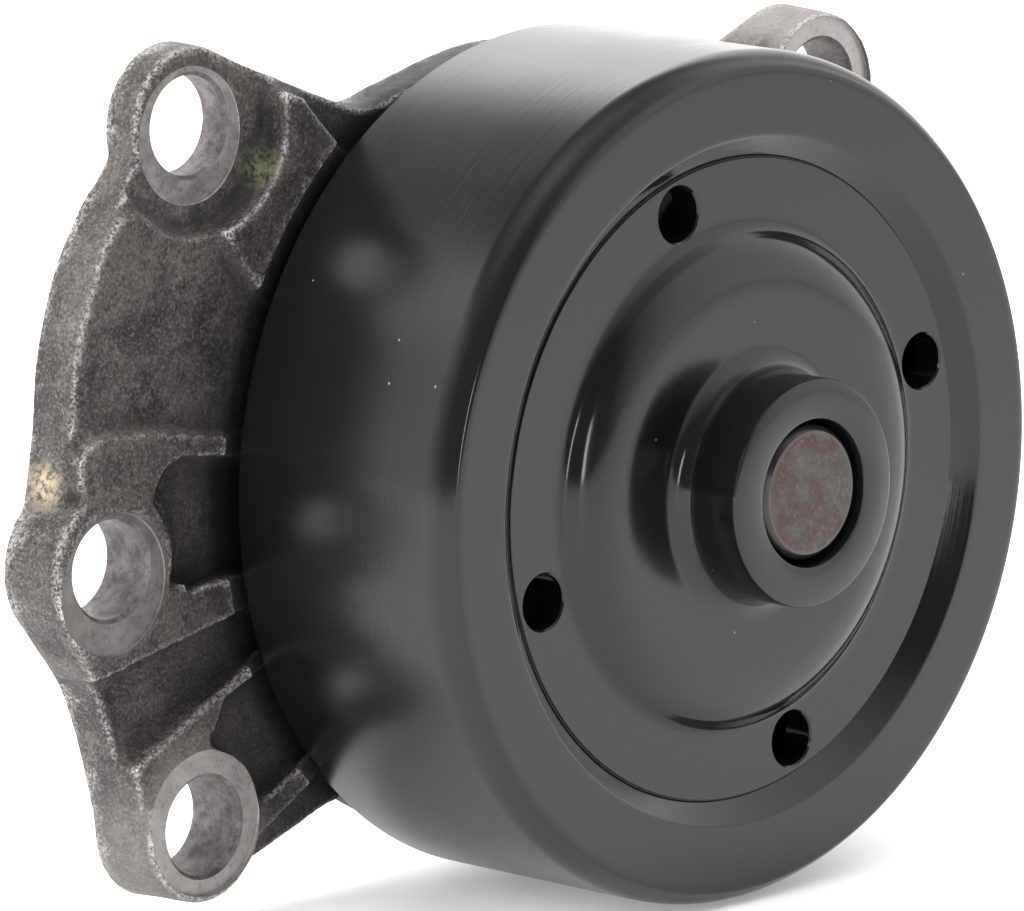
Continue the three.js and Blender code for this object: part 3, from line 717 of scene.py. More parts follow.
def plain_finish(name):
    """A finish of two close colours in fine patches, for the pieces inside the pump."""
    dark, light, metallic, rough, patch_mm, relief_mm = PLAIN_FINISHES[name]
    material, tree, shader, where = new_material(name)
    patch = blotches(tree, where, patch_mm, 5.0, 0.6)
    tree.links.new(colour_mix(tree, ramp(tree, patch, 0.35, 0.65), linear(dark), linear(light)),
                   shader.inputs["Base Color"])
    shader.inputs["Metallic"].default_value = metallic
    tree.links.new(ramp(tree, patch, 0.3, 0.7, rough * 0.85, rough * 1.15), shader.inputs["Roughness"])
    bump(tree, shader, patch, relief_mm, 0.5)
    return material


def finish_named(name):
    """The shared materials, each made the first time it is asked for."""
    found = bpy.data.materials.get(name)
    if found:
        return found
    if name in PLAIN_FINISHES:
        return plain_finish(name)
    makers = {
        "Die-Cast Aluminium": die_cast_aluminium,
        "Machined Aluminium": machined_aluminium,
        "Drilled Aluminium": drilled_aluminium,
        "Black Electro-Coat": black_electrocoat,
        "Ground Steel With Rust": rusted_ground_steel,
    }
    return makers[name]()


# ---- housing --------------------------------------------------------------------------------------
def flange_outline():
    """The flange's edge, anticlockwise seen from the pulley side."""
    radius = sizes().body_radius

    def corner(name, start, end):
        x, z = LUG_AT[name]
        aside = 0.25 if name == "upper_left" else 0
        return arc(x + aside, z + aside, LUG_OUTER[name], start, end, 28)

    def edge(start, points, end):
        return through([start] + points + [end], 8)[:-1]

    upper_right = corner("upper_right", -28, 118)
    top = arc(0, 0, radius, 56, 107, 24)
    upper_left = corner("upper_left", 68, 200)
    middle_left = corner("middle_left", 132, 216)
    lower_left = corner("lower_left", 186, 292)
    bottom = arc(0, 0, radius, 236, 299, 30)
    lower_right = corner("lower_right", 238, 352)
    middle_right = corner("middle_right", 304, 420)
    line = list(upper_right)
    line += edge(upper_right[-1], [(29.0, 32.6), (24.6, 30.9)], top[0])
    line += top
    line += edge(top[-1], [(-15.4, 34.3), (-19.0, 33.4), (-22.2, 34.0), (-31.6, 37.7)], upper_left[0])
    line += upper_left
    line += edge(upper_left[-1], [(-49.6, 29.4), (-51.3, 27.6), (-54.5, 22.4), (-56.9, 14.6), (-57.6, 7.8),
                                  (-58.5, 2.6)], middle_left[0])
    line += middle_left
    line += edge(middle_left[-1], [(-57.1, -11.8), (-54.2, -16.0), (-51.9, -22.2), (-50.3, -28.6)],
                 lower_left[0])
    line += lower_left
    line += edge(lower_left[-1], [(-34.0, -33.8), (-24.2, -30.4)], bottom[0])
    line += bottom
    line += edge(bottom[-1], [(26.0, -34.6)], lower_right[0])
    line += lower_right
    line += edge(lower_right[-1], [(45.6, -22.6), (49.6, -15.6), (56.2, -9.9)], middle_right[0])
    line += middle_right
    line += edge(middle_right[-1], [(53.4, 8.6), (49.0, 16.4)], upper_right[0])
    return line


def bar_outline(start, end, width, end_width=None):
    """A straight bar with rounded ends, as an outline."""
    (x0, z0), (x1, z1) = start, end
    heading = math.degrees(math.atan2(z1 - z0, x1 - x0))
    first, last = width / 2, (end_width or width) / 2
    far_end = arc(x1, z1, last, heading - 90, heading + 90, 8)
    return far_end + arc(x0, z0, first, heading + 90, heading + 270, 8)


def casting():
    """The raw casting: every boss, pad and rib as overlapping solids, which soften() makes one skin with soft
    edges.
    """
    s = sizes()
    bm = bmesh.new()
    add_prism(bm, flange_outline(), -STOCK, s.plate, s.draft * s.plate)
    upper_left = LUG_AT["upper_left"]
    clear = 9.8

    # plain pad left of the pulley, cut away round the upper left bolt head
    pad = through([(-57.6, 7.2), (-57.5, 9.6), (-57.0, 14.1), (-55.9, 18.4), (-54.2, 22.6), (-52.8, 25.2),
                   (-51.3, 26.9), (-49.8, 27.2)], 6)
    pad += arc(*upper_left, clear, 229, 300, 18)
    pad += [(-26.0, 12.0), (-26.0, 5.0), (-40.0, 5.6)]
    add_prism(bm, pad[::-1], 1.0, s.pad, 0.12)

    # thick rib from the upper left lug towards the bearing
    band = arc(*upper_left, clear, 282, 372, 22)
    band += [(-29.6, 35.2), (-23.6, 28.8), (-14.0, 22.0), (-22.0, 12.0), (-34.6, 18.4)]
    add_prism(bm, band, 1.0, s.rib, 0.35)

    # ribs and webs of the left side
    for outline_points, height in (
        ([(-57.6, 3.2), (-55.6, 1.4), (-49.0, -0.4), (-47.6, 2.4), (-46.8, 3.8), (-44.6, 4.5), (-38.4, 3.7),
          (-33.0, 2.9), (-33.0, 5.3), (-38.2, 6.0), (-42.3, 6.8), (-48.0, 7.8), (-53.9, 8.2), (-56.4, 7.7),
          (-57.8, 6.0)], s.rib),
        ([(-59.0, -9.0), (-57.6, -12.2), (-55.8, -14.4), (-33.0, -9.6), (-33.0, -7.0), (-46.5, -6.4),
          (-50.0, -9.5)], s.rib),
        ([(-51.2, -22.4), (-50.2, -27.0), (-43.0, -24.0), (-40.6, -20.6), (-39.6, -18.2), (-33.0, -15.4),
          (-33.0, -13.0)], s.rib),
        (bar_outline((-37.5, -30.8), (-25.0, -24.0), 3.4, 2.6), s.rib),
        (bar_outline((36.0, 3.0), (53.0, 4.6), 2.6), s.rib),
        (bar_outline((34.0, -9.0), (50.0, -7.0), 2.6), s.rib),
        (bar_outline((26.0, -24.0), (35.0, -28.0), 3.0), s.rib),
        (bar_outline((20.0, 17.0), (36.0, 26.4), 9.0, 11.0), s.rib + 0.4),
    ):
        add_prism(bm, outline_points, 1.0, height, 0.3)

    # lugs, each a little higher than its seat
    for name in LUG_NAMES:
        x, z = LUG_AT[name]
        top = s.plate - 0.6 if name == "upper_left" else SEAT_HEIGHT[name] + 0.5
        radius = max(LUG_OUTER[name], SEAT_RADIUS[name] + 0.5)
        add_spun(bm, [(0, STOCK), (radius, STOCK), (radius - s.draft * top, -top), (0, -top)], x, z, 72)

    # bearing tube, rear hub and the tapering webs between tube and flange
    front = -TUBE_FRONT + 0.8
    add_spun(bm, [(0, STOCK), (s.tube_radius + 1.2, STOCK), (s.tube_radius, -front), (0, -front)],
             segments=128)
    add_spun(bm, [(0, -1), (s.hub_radius + 0.8, -1), (s.hub_radius + 0.8, HUB_LENGTH + 0.8),
                  (0, HUB_LENGTH + 0.8)], segments=128)
    for degrees in (20, 80, 140, 200, 320):
        add_web(bm, degrees)
    add_prism(bm, bar_outline((0, -10), (0, -s.body_radius + 4.2), 7.0), 1.0, s.pad + 0.4, 0.3)
    return finish_mesh("housing_casting", bm)


def add_web(bm, degrees, reach=33.0, height=16.0, width=3.0):
    """A triangular web that stiffens the bearing tube."""
    s = sizes()
    inner = s.tube_radius - 2
    side = polar(width / 2, degrees + 90)
    corners = [(inner, 1.0), (reach, 1.0), (reach, s.plate + 0.4), (inner, height)]
    rows = []
    for sign in (-1, 1):
        row = []
        for radius, depth in corners:
            x, z = polar(radius, degrees)
            row.append(bm.verts.new(((x + sign * side[0]) * MM, -depth * MM, (z + sign * side[1]) * MM)))
        rows.append(row)
    left, right = rows
    bm.faces.new(left)
    bm.faces.new(right[::-1])
    for i in range(4):
        j = (i + 1) % 4
        bm.faces.new((left[j], left[i], right[i], right[j]))


def cored_pockets():
    """The deeper pockets between the ribs of the left side, as one cutter."""
    s = sizes()
    bm = bmesh.new()
    middle = LUG_AT["middle_left"]
    lower = LUG_AT["lower_left"]
    first = arc(*middle, 9.2, 34, -24, 14)
    first += [(-38.0, -6.6), (-27.0, -6.0), (-27.0, 1.8), (-38.0, 3.4), (-44.4, 4.2), (-46.6, 3.4),
              (-47.6, 2.0)]
    second = [(-52.9, -15.2), (-44.0, -12.9), (-34.0, -10.8), (-30.0, -10.2), (-30.0, -11.6), (-42.5, -17.4),
              (-49.6, -21.0), (-51.2, -20.2)]
    third = arc(*lower, 8.6, 72, 14, 12)
    third += [(-31.0, -27.8), (-25.0, -22.2), (-24.0, -14.0), (-34.0, -17.8), (-38.6, -19.6)]
    # the ground round the upper left lug
    above = 12
    clear_of_bolt = [(0, -3.45), (9.6, -3.45), (9.9, -above), (0, -above)]
    add_spun(bm, clear_of_bolt, *LUG_AT["upper_left"], segments=96)
    add_prism(bm, first[::-1], s.pocket, above, -0.9)
    add_prism(bm, second[::-1], s.plate - 0.35, above, -0.5)
    add_prism(bm, third[::-1], s.pocket, above, -0.9)
    return finish_mesh("pockets", bm)


def one_skin(obj, voxel):
    """Every overlapping solid of the mesh made into a single closed skin."""
    remesh = obj.modifiers.new("Remesh", "REMESH")
    remesh.mode = "VOXEL"
    remesh.voxel_size = voxel
    return baked(obj, 180)


def soften(obj):
    """One skin with rounded edges and a slightly uneven surface, as a casting has."""
    s = sizes()
    voxel = s.grain * MM * 1
    obj = one_skin(obj, voxel)
    obj = boolean(obj, cored_pockets(), smooth_angle=180)
    obj = one_skin(obj, voxel)
    smooth = obj.modifiers.new("Smooth", "SMOOTH")
    smooth.factor = 0.5
    smooth.iterations = s.softness
    obj = baked(obj, 180)
    mesh = obj.data
    count = len(mesh.vertices)
    places = np.zeros(count * 3, np.float32)
    normals = np.zeros(count * 3, np.float32)
    mesh.vertices.foreach_get("co", places)
    mesh.vertices.foreach_get("normal", normals)
    places = places.reshape(-1, 3)
    normals = normals.reshape(-1, 3)
    heights = np.array([noise.noise(Vector(p) / (4.5 * MM)) + 0.4 * noise.noise(Vector(p) / (1.6 * MM))
                        for p in places.tolist()])
    places += normals * (heights * s.waviness * MM)[:, None]
    mesh.vertices.foreach_set("co", places.astype(np.float32).ravel())
    thin = obj.modifiers.new("Decimate", "DECIMATE")
    thin.ratio = 0.42
    return baked(obj, 60)


def machining_cutters():
    """The faces milled and turned after casting: mounting face, hub, impeller pocket and tube front, as one
    tool.
    """
    s = sizes()
    bm = bmesh.new()
    # mounting face and the outside of the hub
    add_spun(bm, [(s.hub_radius, 0), (100, 0), (100, 20), (s.hub_radius, 20)], segments=192)
    # impeller pocket
    pocket = rounded([(s.hub_radius, -1.6), (31.5, -1.6), (31.5, 5), (s.hub_radius, 5)], 0.6)
    add_spun(bm, pocket, segments=192)
    # end of the hub and front of the tube
    add_spun(bm, [(0, HUB_LENGTH), (30, HUB_LENGTH), (30, 25), (0, 25)], segments=64)
    add_spun(bm, [(0, TUBE_FRONT), (30, TUBE_FRONT), (30, -60), (0, -60)], segments=64)
    return finish_mesh("machining", bm)


def pulley_clearance():
    """The ring that keeps ribs and pad clear of the pulley's rear edge."""
    bm = bmesh.new()
    top = PULLEY_HIGH.y + 1.1
    inner, outer = 36.5, BELT_RADIUS + 0.9
    add_spun(bm, [(inner, top), (outer, top), (outer, -12), (inner, -12)], segments=192)
    return finish_mesh("pulley_clearance", bm)


def drilling_cutters():
    """Bolt holes with their seats and chamfers, the bearing seat and the seal seat."""
    s = sizes()
    bm = bmesh.new()
    hole = s.bolt_hole
    for name in LUG_NAMES:
        x, z = LUG_AT[name]
        seat, radius = SEAT_HEIGHT[name], SEAT_RADIUS[name]
        add_spun(bm, [(0, 3), (hole + 3.5, 3), (hole, -0.5), (hole, -seat + 0.35), (hole + 0.35, -seat),
                      (hole + 0.35, -seat - 0.5), (0, -seat - 0.5)], x, z, 96)
        add_spun(bm, [(0, -seat), (radius - 0.1, -seat), (radius, -seat - 0.1), (radius, -seat - 9),
                      (0, -seat - 9)], x, z + SEAT_RISE[name], 96)
    bearing = RING_HIGH.x + PRESS_GAP
    chamber = RING_HIGH.x - SEAL_STEP
    ring_rear = RING_HIGH.y
    cup_low, cup_high = node_box("seal_cup")
    seal = cup_high.x - 2.5 + PRESS_GAP
    add_spun(bm, [(0, -50), (bearing + 22, -50), (bearing + 0.5, TUBE_FRONT), (bearing, TUBE_FRONT + 0.5),
                  (bearing, ring_rear + 0.3), (chamber, ring_rear + 0.3), (chamber, cup_low.y - 0.3),
                  (seal, cup_low.y - 0.3), (seal, HUB_LENGTH - 0.4), (seal + 3, HUB_LENGTH + 2.6), (0, 20)],
             segments=128)
    drill = finish_mesh("drilling", bm)
    drill.data.materials.append(finish_named("Machined Aluminium"))
    drill.data.materials.append(finish_named("Drilled Aluminium"))
    for face in drill.data.polygons:
        at = face.center / MM
        in_hole = any(math.hypot(at.x - x, at.z - z) < hole + 0.3 for x, z in LUG_AT.values())
        if abs(face.normal.y) < 0.9 and in_hole:
            face.material_index = 1
    return drill


def weep_drill(radius=1.6):
    """The drilled drain from the seal chamber to the flange's lower edge."""
    bm = bmesh.new()
    bmesh.ops.create_cone(bm, cap_ends=True, segments=32, radius1=radius * MM, radius2=radius * MM,
                          depth=sizes().body_radius * MM)
    middle = -(RING_HIGH.x - SEAL_STEP) + 3 - sizes().body_radius / 2
    bmesh.ops.translate(bm, verts=bm.verts, vec=(0, -(sizes().plate / 2 + 0.3) * MM, middle * MM))
    return finish_mesh("weep_drill", bm)


def mark_edges(mesh):
    """Stores how far each point stands out (edge) or lies in a corner (recess), from 0 to 1."""
    count = len(mesh.vertices)
    places = np.zeros(count * 3)
    mesh.vertices.foreach_get("co", places)
    places = places.reshape(-1, 3)
    normals = np.zeros(count * 3)
    mesh.vertices.foreach_get("normal", normals)
    normals = normals.reshape(-1, 3)
    ends = np.zeros(len(mesh.edges) * 2, np.int64)
    mesh.edges.foreach_get("vertices", ends)
    a, b = ends.reshape(-1, 2).T
    along = places[b] - places[a]
    length = np.maximum(np.linalg.norm(along, axis=1), 1e-7)
    degree = np.maximum(np.bincount(a, minlength=count) + np.bincount(b, minlength=count), 1)

    def spread(values):
        total = np.bincount(a, values[b], count) + np.bincount(b, values[a], count)
        return 0.5 * values + 0.5 * total / degree

    bend = (np.einsum("ij,ij->i", normals[b] - normals[a], along)) / length
    curve = (np.bincount(a, bend, count) + np.bincount(b, bend, count)) / degree
    for _ in range(2):
        curve = spread(curve)
    broad = curve.copy()
    for _ in range(14):
        broad = spread(broad)
    for name, values in (("edge", np.clip((curve - 0.10) / 0.22, 0, 1)),
                         ("recess", np.clip((-broad - 0.01) / 0.10, 0, 1))):
        layer = mesh.attributes.get(name) or mesh.attributes.new(name, "FLOAT", "POINT")
        layer.data.foreach_set("value", values.astype(np.float32))


def build_housing():
    cast = finish_named("Die-Cast Aluminium")
    machined = finish_named("Machined Aluminium")
    body = soften(casting())
    body.data.materials.clear()
    body.data.materials.append(cast)
    for cutter, skin in ((pulley_clearance(), cast), (machining_cutters(), machined),
                         (drilling_cutters(), None), (weep_drill(), machined)):
        if skin:
            cutter.data.materials.append(skin)
        body = boolean(body, cutter, smooth_angle=38)
    mark_edges(body.data)
    return place(body, "stator", "cast_aluminium", "housing")


# ---- pulley ---------------------------------------------------------------------------------------
def pulley_profile():
    """Section of the pulley: belt face, rounded rim, flat face, cove, web, raised middle and nose."""
    p = pulley_sizes()
    rear = PULLEY_HIGH.y
    nose = PULLEY_LOW.y
    rim = nose + NOSE_TO_RIM
    web = rim + RIM_TO_WEB
    plateau = web - PLATEAU_TO_WEB
    inner = BELT_RADIUS - p.wall
    rise = p.rim_round * math.sin(math.radians(48)) + 0.1
    fillet = 2.2
    edge = arc(BELT_RADIUS - p.rim_round, rim + rise, p.rim_round, 0, -48, 14)
    x48, y48 = edge[-1]
    # the rounding ends in a tighter curve onto the flat face
    tight = [((1 - t) ** 2 * x48 + 2 * t * (1 - t) * (x48 - 0.35) + t * t * 36.9,
              (1 - t) ** 2 * y48 + 2 * t * (1 - t) * rim + t * t * rim) for t in (0.2, 0.4, 0.6, 0.8, 1.0)]
    front = [(BELT_RADIUS - 0.55, rear), (BELT_RADIUS, rear - 0.55)]
    front += edge + tight
    front += [(36.6, rim), (32.5, rim)]
    # a conical cove runs down to a small step round the web
    cove = rounded([(32.2, rim), (31.5, rim), (29.45, rim + 1.70)], 0.9, closed=False)
    cove += [(29.38, rim + 1.76), (29.33, rim + 1.75), (29.3, rim + 1.70), (29.3, web + 0.06), (29.24, web)]
    # the raised middle is steep at its foot and flattens slowly towards the nose
    slope = through([(23.8, web), (23.3, web - 0.06), (22.8, web - 0.32), (22.3, web - 0.82),
                     (21.8, web - 1.33), (21.0, web - 1.89), (20.0, web - 2.30), (19.0, web - 2.52),
                     (18.0, web - 2.63), (17.0, plateau)], 5)
    corner = arc(p.nose_radius + fillet, plateau - fillet, fillet, 90, 180, 14)
    front += cove + [(28.9, web), (24.4, web), (23.8, web)] + slope
    front += [(16.6, plateau), (13.2, plateau)] + corner
    front += [(p.nose_radius, nose + 0.3), (p.nose_radius - 0.08, nose + 0.1), (p.nose_radius - 0.3, nose)]
    bore = SHAFT_RADIUS + PRESS_GAP
    front += [(6.95, nose), (6.78, nose + 0.06), (6.7, nose + 0.25), (6.6, nose + 1.8), (bore, nose + 2.4)]
    back = plateau + p.wall
    hub_back = back + 1.4
    behind = rounded([(bore, hub_back), (9.6, hub_back), (9.6, back), (18.6, back),
                      (23.2, web + p.wall), (30.8, web + p.wall), (33.1, rim + p.wall),
                      (inner - 1.6, rim + p.wall), (inner, rim + p.wall + 1.6), (inner, rear)],
                     0.9, closed=False)
    return front + behind


def build_pulley():
    p = pulley_sizes()
    coat = finish_named("Black Electro-Coat")
    body = spun("pulley_body", pulley_profile(), coat, p.segments, 40)
    bm = bmesh.new()
    web = PULLEY_LOW.y + NOSE_TO_RIM + RIM_TO_WEB
    x, z = polar(p.hole_pitch, 17)
    hole, chamfer = p.hole_radius, 0.16
    add_spun(bm, [(0, web - 3), (hole + chamfer, web - 3), (hole + chamfer, web), (hole, web + chamfer),
                  (hole, web + 9), (0, web + 9)], x, z, 64)
    drill = finish_mesh("pulley_drill", bm)
    drill = repeated(drill, p.hole_count, coat)
    body = boolean(body, drill, smooth_angle=40)
    return place(body, "rotor", "black_coat", "pulley")


# ---- turned pieces --------------------------------------------------------------------------------
def section_of(name):
    """The (radius, y) section of a turned CAD piece, and whether it closes on itself."""
    bm = bmesh.new()
    bm.from_mesh(frame["nodes"][name].data)
    bmesh.ops.remove_doubles(bm, verts=bm.verts, dist=2e-6)
    cut = {v for v in bm.verts if abs(v.co.x) < 2e-6 and v.co.z > -2e-6}
    links = {v: [e.other_vert(v) for e in v.link_edges if e.other_vert(v) in cut] for v in cut}
    ends = [v for v in cut if v.co.z < 2e-6]
    start = min(ends, key=lambda v: v.co.y) if ends else min(cut, key=lambda v: (v.co.y, v.co.z))
    line = [start]
    while True:
        following = [v for v in links[line[-1]] if v not in line]
        if not following:
            break
        line.append(following[0])
    points = [(v.co.z / MM, v.co.y / MM) for v in line]
    bm.free()
    return points, not ends


def respin(nodes, body, slot, finish, corner=0.12):
    """Turned pieces made again from their CAD sections, finely and with their corners broken."""
    for name in nodes:
        points, closed = section_of(name)
        profile = rounded(points, corner, closed=closed)
        piece = spun(f"{name}_turned", profile, finish_named(finish), 128, 36)
        place(piece, body, slot, name)


def build_bearing():
    respin(["bearing_shaft"], "rotor", "ground_steel", "Ground Steel With Rust", 0.15)
    respin(["bearing_outer_ring"], "stator", "ground_steel", "Ground Bearing Steel", 0.3)
    respin(["bearing_seal_front", "bearing_seal_rear"], "stator", "black_rubber", "Nitrile Rubber", 0.15)
    rows = (("front", FRONT_BALL_LOW, FRONT_BALL_HIGH, 1), ("rear", REAR_BALL_LOW, REAR_BALL_HIGH, -1))
    for row, low, high, direction in rows:
        middle = (low + high) / 2
        radius = (high.y - low.y) / 2
        bm = bmesh.new()
        bmesh.ops.create_uvsphere(bm, u_segments=40, v_segments=24, radius=radius * MM)
        bmesh.ops.translate(bm, verts=bm.verts, vec=Vector((middle.x, middle.y, 0)) * MM)
        steel = finish_named("Polished Bearing Steel")
        balls = repeated(finish_mesh(f"{row}_balls", bm, 180), BALLS_IN_A_ROW, steel, 180)
        names = [f"{row}_ball_{i + 1}" for i in range(BALLS_IN_A_ROW)]
        place(balls, f"{row}_ball_row", "ball_steel", *names)
        build_cage(row, direction)


def build_cage(row, direction, thickness=1.0):
    """A comb cage: a ring beside the balls with a finger between each pair."""
    low, high = node_box(f"ball_cage_{row}")
    outer = high.x
    inner = 7.35
    back = high.y if direction > 0 else low.y
    inside = back - direction * thickness
    tip = low.y if direction > 0 else high.y
    finish = finish_named("Moulded Polyamide")
    band = spun(f"ball_cage_{row}_moulded",
                rounded([(inner, inside), (outer, inside), (outer, back), (inner, back)], 0.2), finish, 96)
    bm = bmesh.new()
    x, z = polar((inner + outer) / 2, 180 / BALLS_IN_A_ROW)
    finger, root = 0.72, back - direction * 0.2
    add_spun(bm, rounded([(0, tip), (finger, tip), (finger, root), (0, root)], 0.25, closed=False), x, z, 24)
    comb = repeated(finish_mesh("cage_fingers", bm), BALLS_IN_A_ROW, finish)
    cage = boolean(band, comb, "UNION")
    place(cage, f"{row}_ball_row", "cage_polyamide", f"ball_cage_{row}")


# ---- face seal, slinger and impeller --------------------------------------------------------------
def build_face_seal():
    respin(["seal_cup"], "stator", "seat_brass", "Drawn Brass", 0.4)
    respin(["seal_bellows"], "stator", "black_rubber", "Nitrile Rubber", 0.25)
    respin(["seal_drive_collar"], "stator", "pressed_steel", "Stainless Wire", 0.1)
    respin(["seal_carbon_ring"], "stator", "carbon", "Carbon Graphite", 0.1)
    respin(["mating_ring"], "rotor", "ceramic", "Silicon Carbide", 0.15)
    respin(["mating_ring_boot"], "rotor", "black_rubber", "Nitrile Rubber", 0.1)
    respin(["slinger"], "rotor", "pressed_steel", "Pressed Stainless", 0.15)
    low, high = node_box("seal_spring")
    wire, end_gap = 0.58, 0.05
    radius = (high.z - low.z) / 2 - 0.62
    mesh = bpy.data.meshes.new("seal_spring_coil")
    coil = bpy.data.objects.new("seal_spring_coil", mesh)
    bpy.context.scene.collection.objects.link(coil)
    tree = spring_tree()
    modifier = coil.modifiers.new("Coil", "NODES")
    modifier.node_group = tree
    for name, value in (("Radius", radius * MM), ("Height", (high.y - low.y - 2 * wire - 2 * end_gap) * MM),
                        ("Wire", wire * MM), ("Turns", 3.0), ("Material", finish_named("Stainless Wire"))):
        modifier[socket_of(tree, name)] = value
    coil = baked(coil, 60)
    coil.data.transform(Matrix.Translation((0, (low.y + wire + end_gap) * MM, 0)))
    place(coil, "stator", "spring_steel", "seal_spring")


def add_vane(bm, width, rear, front, end, start=11.0, sweep=46.0, steps=20):
    """One swept vane between two heights along the shaft, as a closed strip of quads."""
    middle = [polar(start + (end - start) * i / steps, -sweep * i / steps) for i in range(steps + 1)]
    rows = []
    for i, (x, z) in enumerate(middle):
        before, after = middle[max(i - 1, 0)], middle[min(i + 1, steps)]
        run = Vector((after[0] - before[0], after[1] - before[1])).normalized() * width / 2
        sides = ((x - run.y, z + run.x), (x + run.y, z - run.x))
        corners = [(*sides[0], rear), (*sides[1], rear), (*sides[1], front), (*sides[0], front)]
        rows.append([bm.verts.new((px * MM, y * MM, pz * MM)) for px, pz, y in corners])
    for a, b in zip(rows, rows[1:]):
        for k in range(4):
            bm.faces.new((a[k], a[(k + 1) % 4], b[(k + 1) % 4], b[k]))
    bm.faces.new(rows[0][::-1])
    bm.faces.new(rows[-1])


def build_impeller():
    finish = finish_named("Pressed Stainless")
    front, rear = IMPELLER_LOW.y, IMPELLER_HIGH.y
    edge = IMPELLER_HIGH.z
    disc = front + 2.2
    bore = SHAFT_RADIUS + PRESS_GAP
    mating_high = node_box("mating_ring")[1]
    seat = mating_high.x + PRESS_GAP
    seat_floor = mating_high.y + 0.3
    profile = rounded([
        (seat, front), (edge, front), (edge, disc), (11.6, disc), (9.5, disc + 1.6), (9.2, rear - 3.0),
        (bore, rear - 3.0), (bore, seat_floor), (seat, seat_floor)], 0.7)
    body = spun("impeller_wheel", profile, finish, 192, 36)
    bm = bmesh.new()
    add_vane(bm, 2.2, disc - 0.5, rear, edge - 0.6)
    vane = finish_mesh("vane", bm)
    bevel = vane.modifiers.new("Bevel", "BEVEL")
    bevel.width = 0.3 * MM
    bevel.segments = 3
    bevel.limit_method = "ANGLE"
    vane = baked(vane)
    vanes = repeated(vane, VANES, finish)
    body = boolean(body, vanes, "UNION", 36)
    place(body, "rotor", "pressed_steel", "impeller")


# ---- stage ----------------------------------------------------------------------------------------
def floor_material():
    """Matt white acrylic over a dim light box: bright, even and slightly satin."""
    material, tree, shader, where = new_material("Lit White Acrylic")
    patch = blotches(tree, where, 60.0, 2.0, 0.5)
    tree.links.new(colour_mix(tree, patch, linear("DADADA"), linear("DEDEDE")), shader.inputs["Base Color"])
    shader.inputs["Roughness"].default_value = 0.55
    shader.inputs["Emission Color"].default_value = (1, 1, 1, 1)
    shader.inputs["Emission Strength"].default_value = 0.24
    return material


def build_studio_walls():
    """White walls behind and on the right of the pump, brightest to the right of the middle, with a
    dim ceiling, left and front, as the world round the stage."""
    world = bpy.data.worlds.new("Studio")
    world.use_nodes = True
    tree = world.node_tree
    tree.nodes.clear()
    towards = node(tree, "ShaderNodeTexCoord").outputs["Generated"]
    parts = node(tree, "ShaderNodeSeparateXYZ", {"Vector": towards})
    x, y, z = parts.outputs["X"], parts.outputs["Y"], parts.outputs["Z"]
    wall = times(tree, ramp(tree, z, 0.61, 0.69, 1.0, 0.0), ramp(tree, z, 0.40, 0.58, 0.70, 1.0))
    wall = times(tree, wall, ramp(tree, y, -0.1, 0.65))
    from_left = times(tree, ramp(tree, x, -0.2, 0.35, 2.4, 4.2), ramp(tree, x, 0.5, 0.9, 1.0, 0.45))
    wall = times(tree, wall, from_left)
    lean = plus(tree, times(tree, z, 0.5), x)
    side = times(tree, ramp(tree, lean, 0.1, 0.7, 0.0, 1.7), ramp(tree, y, 0.05, 0.35, 1.0, 0.0))
    side = times(tree, side, ramp(tree, z, 0.75, 0.92, 1.0, 0.35))
    bright = node(tree, "ShaderNodeMath", {0: wall, 1: side}, operation="MAXIMUM")
    light = plus(tree, bright.outputs[0], 0.25)
    background = node(tree, "ShaderNodeBackground", {"Color": (1, 1, 1, 1), "Strength": light})
    node(tree, "ShaderNodeOutputWorld", {"Surface": background.outputs[0]})
    bpy.context.scene.world = world


def build_stage():
    stage = bpy.context.scene.pump_stage
    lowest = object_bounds()[0][2]
    bm = bmesh.new()
    bmesh.ops.create_grid(bm, x_segments=1, y_segments=1, size=3.0)
    mesh = bpy.data.meshes.new("floor")
    bm.to_mesh(mesh)
    bm.free()
    floor = bpy.data.objects.new("floor", mesh)
    floor.location = (0, 0, lowest - 0.2 * MM)
    mesh.materials.append(floor_material())
    bpy.context.scene.collection.objects.link(floor)
    floor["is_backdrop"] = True

    build_studio_walls()
    aim = Vector((-0.0055, -0.0087, 0.0))
    # a ceiling and a left wall that the coat does not mirror, and a softbox and a strip that it does
    for name, at, size, power, mirrored in (
        ("ceiling", (0.0, -0.15, 1.1), (2.0, 1.7), 24.0, False),
        ("left", (-0.95, 0.15, 0.35), (0.45, 0.8), 16.0, False),
        ("softbox", (-0.28, 0.05, 1.1), (0.68, 0.42), 12.0, True),
        ("catch light", (-0.49, -0.77, 0.14), (0.08, 0.3), 1.0, True),
    ):
        light = bpy.data.lights.new(name, "AREA")
        light.shape = "RECTANGLE"
        light.size, light.size_y = size
        light.energy = power
        lamp = bpy.data.objects.new(name, light)
        lamp.location = at
        lamp.visible_glossy = mirrored
        if name in ("left", "catch light"):
            lamp.rotation_euler = (aim - Vector(at)).to_track_quat("-Z", "Y").to_euler()
        bpy.context.scene.collection.objects.link(lamp)

    azimuth, elevation = math.radians(stage.azimuth), math.radians(stage.elevation)
    away = Vector((math.sin(azimuth) * math.cos(elevation), -math.cos(azimuth) * math.cos(elevation),
                   math.sin(elevation)))
    camera_data = bpy.data.cameras.new("camera")
    camera_data.lens = stage.lens
    camera_data.sensor_width = 36.0
    camera_data.clip_start = 0.05
    camera_data.clip_end = 20.0
    camera = bpy.data.objects.new("camera", camera_data)
    camera.location = aim + away * stage.distance
    camera.rotation_euler = (-away).to_track_quat("-Z", "Y").to_euler()
    bpy.context.scene.collection.objects.link(camera)
    bpy.context.scene.camera = camera
    bpy.context.scene.view_settings.view_transform = "Standard"


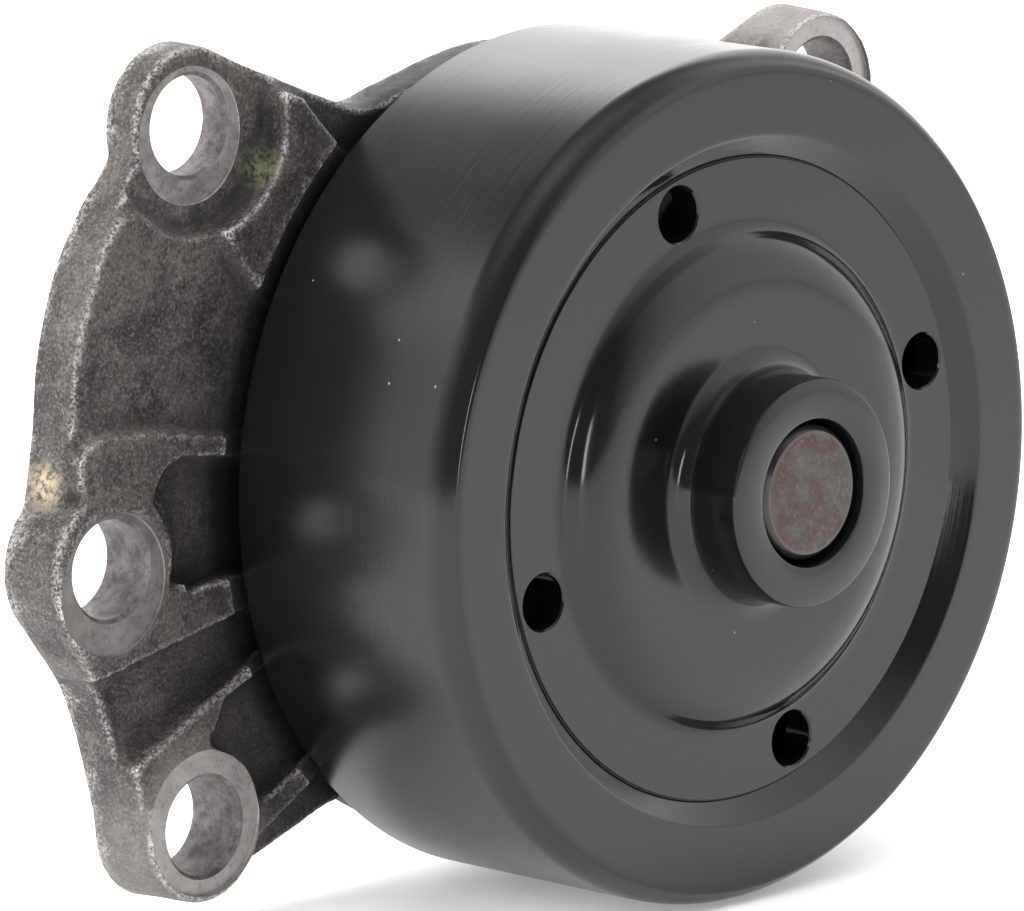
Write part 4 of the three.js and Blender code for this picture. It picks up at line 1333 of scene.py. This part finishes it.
# ---- add-on ---------------------------------------------------------------------------------------
class WATERPUMP_OT_housing(bpy.types.Operator):
    """Cast and machine the pump's housing"""
    bl_idname = "waterpump.housing"
    bl_label = "Housing"

    def execute(self, context):
        build_housing()
        return {"FINISHED"}


class WATERPUMP_OT_pulley(bpy.types.Operator):
    """Turn and coat the belt pulley"""
    bl_idname = "waterpump.pulley"
    bl_label = "Pulley"

    def execute(self, context):
        build_pulley()
        return {"FINISHED"}


class WATERPUMP_OT_bearing(bpy.types.Operator):
    """Build the shaft bearing: shaft, ring, seals, cages and balls"""
    bl_idname = "waterpump.bearing"
    bl_label = "Shaft Bearing"

    def execute(self, context):
        build_bearing()
        return {"FINISHED"}


class WATERPUMP_OT_face_seal(bpy.types.Operator):
    """Build the face seal and the slinger"""
    bl_idname = "waterpump.face_seal"
    bl_label = "Face Seal"

    def execute(self, context):
        build_face_seal()
        return {"FINISHED"}


class WATERPUMP_OT_impeller(bpy.types.Operator):
    """Press and weld the open impeller"""
    bl_idname = "waterpump.impeller"
    bl_label = "Impeller"

    def execute(self, context):
        build_impeller()
        return {"FINISHED"}


class WATERPUMP_OT_stage(bpy.types.Operator):
    """Lay the floor and set the lights and the camera"""
    bl_idname = "waterpump.stage"
    bl_label = "Stage"

    def execute(self, context):
        build_stage()
        return {"FINISHED"}


class WATERPUMP_PT_panel(bpy.types.Panel):
    """Lists the pump's pieces and their sizes"""
    bl_idname = "WATERPUMP_PT_panel"
    bl_label = "Water Pump"
    bl_space_type = "VIEW_3D"
    bl_region_type = "UI"
    bl_category = "Water Pump"

    def draw(self, context):
        for operator in OPERATORS:
            self.layout.operator(operator.bl_idname)
        for name in GROUPS:
            group = getattr(context.scene, name)
            for key in group.bl_rna.properties.keys():
                if key not in ("rna_type", "name"):
                    self.layout.prop(group, key)


GROUPS = {
    "pump_housing": PumpHousingSizes,
    "pump_pulley": PumpPulleySizes,
    "pump_finishes": PumpFinishes,
    "pump_stage": PumpStageSettings,
}
OPERATORS = (
    WATERPUMP_OT_housing,
    WATERPUMP_OT_pulley,
    WATERPUMP_OT_bearing,
    WATERPUMP_OT_face_seal,
    WATERPUMP_OT_impeller,
    WATERPUMP_OT_stage,
)


def register():
    for cls in (*GROUPS.values(), *OPERATORS, WATERPUMP_PT_panel):
        bpy.utils.register_class(cls)
    for name, group in GROUPS.items():
        setattr(bpy.types.Scene, name, PointerProperty(type=group))


def unregister():
    for name in GROUPS:
        delattr(bpy.types.Scene, name)
    for cls in reversed((*GROUPS.values(), *OPERATORS, WATERPUMP_PT_panel)):
        bpy.utils.unregister_class(cls)


def main():
    register()
    bpy.ops.waterpump.housing()
    bpy.ops.waterpump.pulley()
    bpy.ops.waterpump.bearing()
    bpy.ops.waterpump.face_seal()
    bpy.ops.waterpump.impeller()
    bpy.ops.waterpump.stage()


if __name__ == "__main__":
    main()
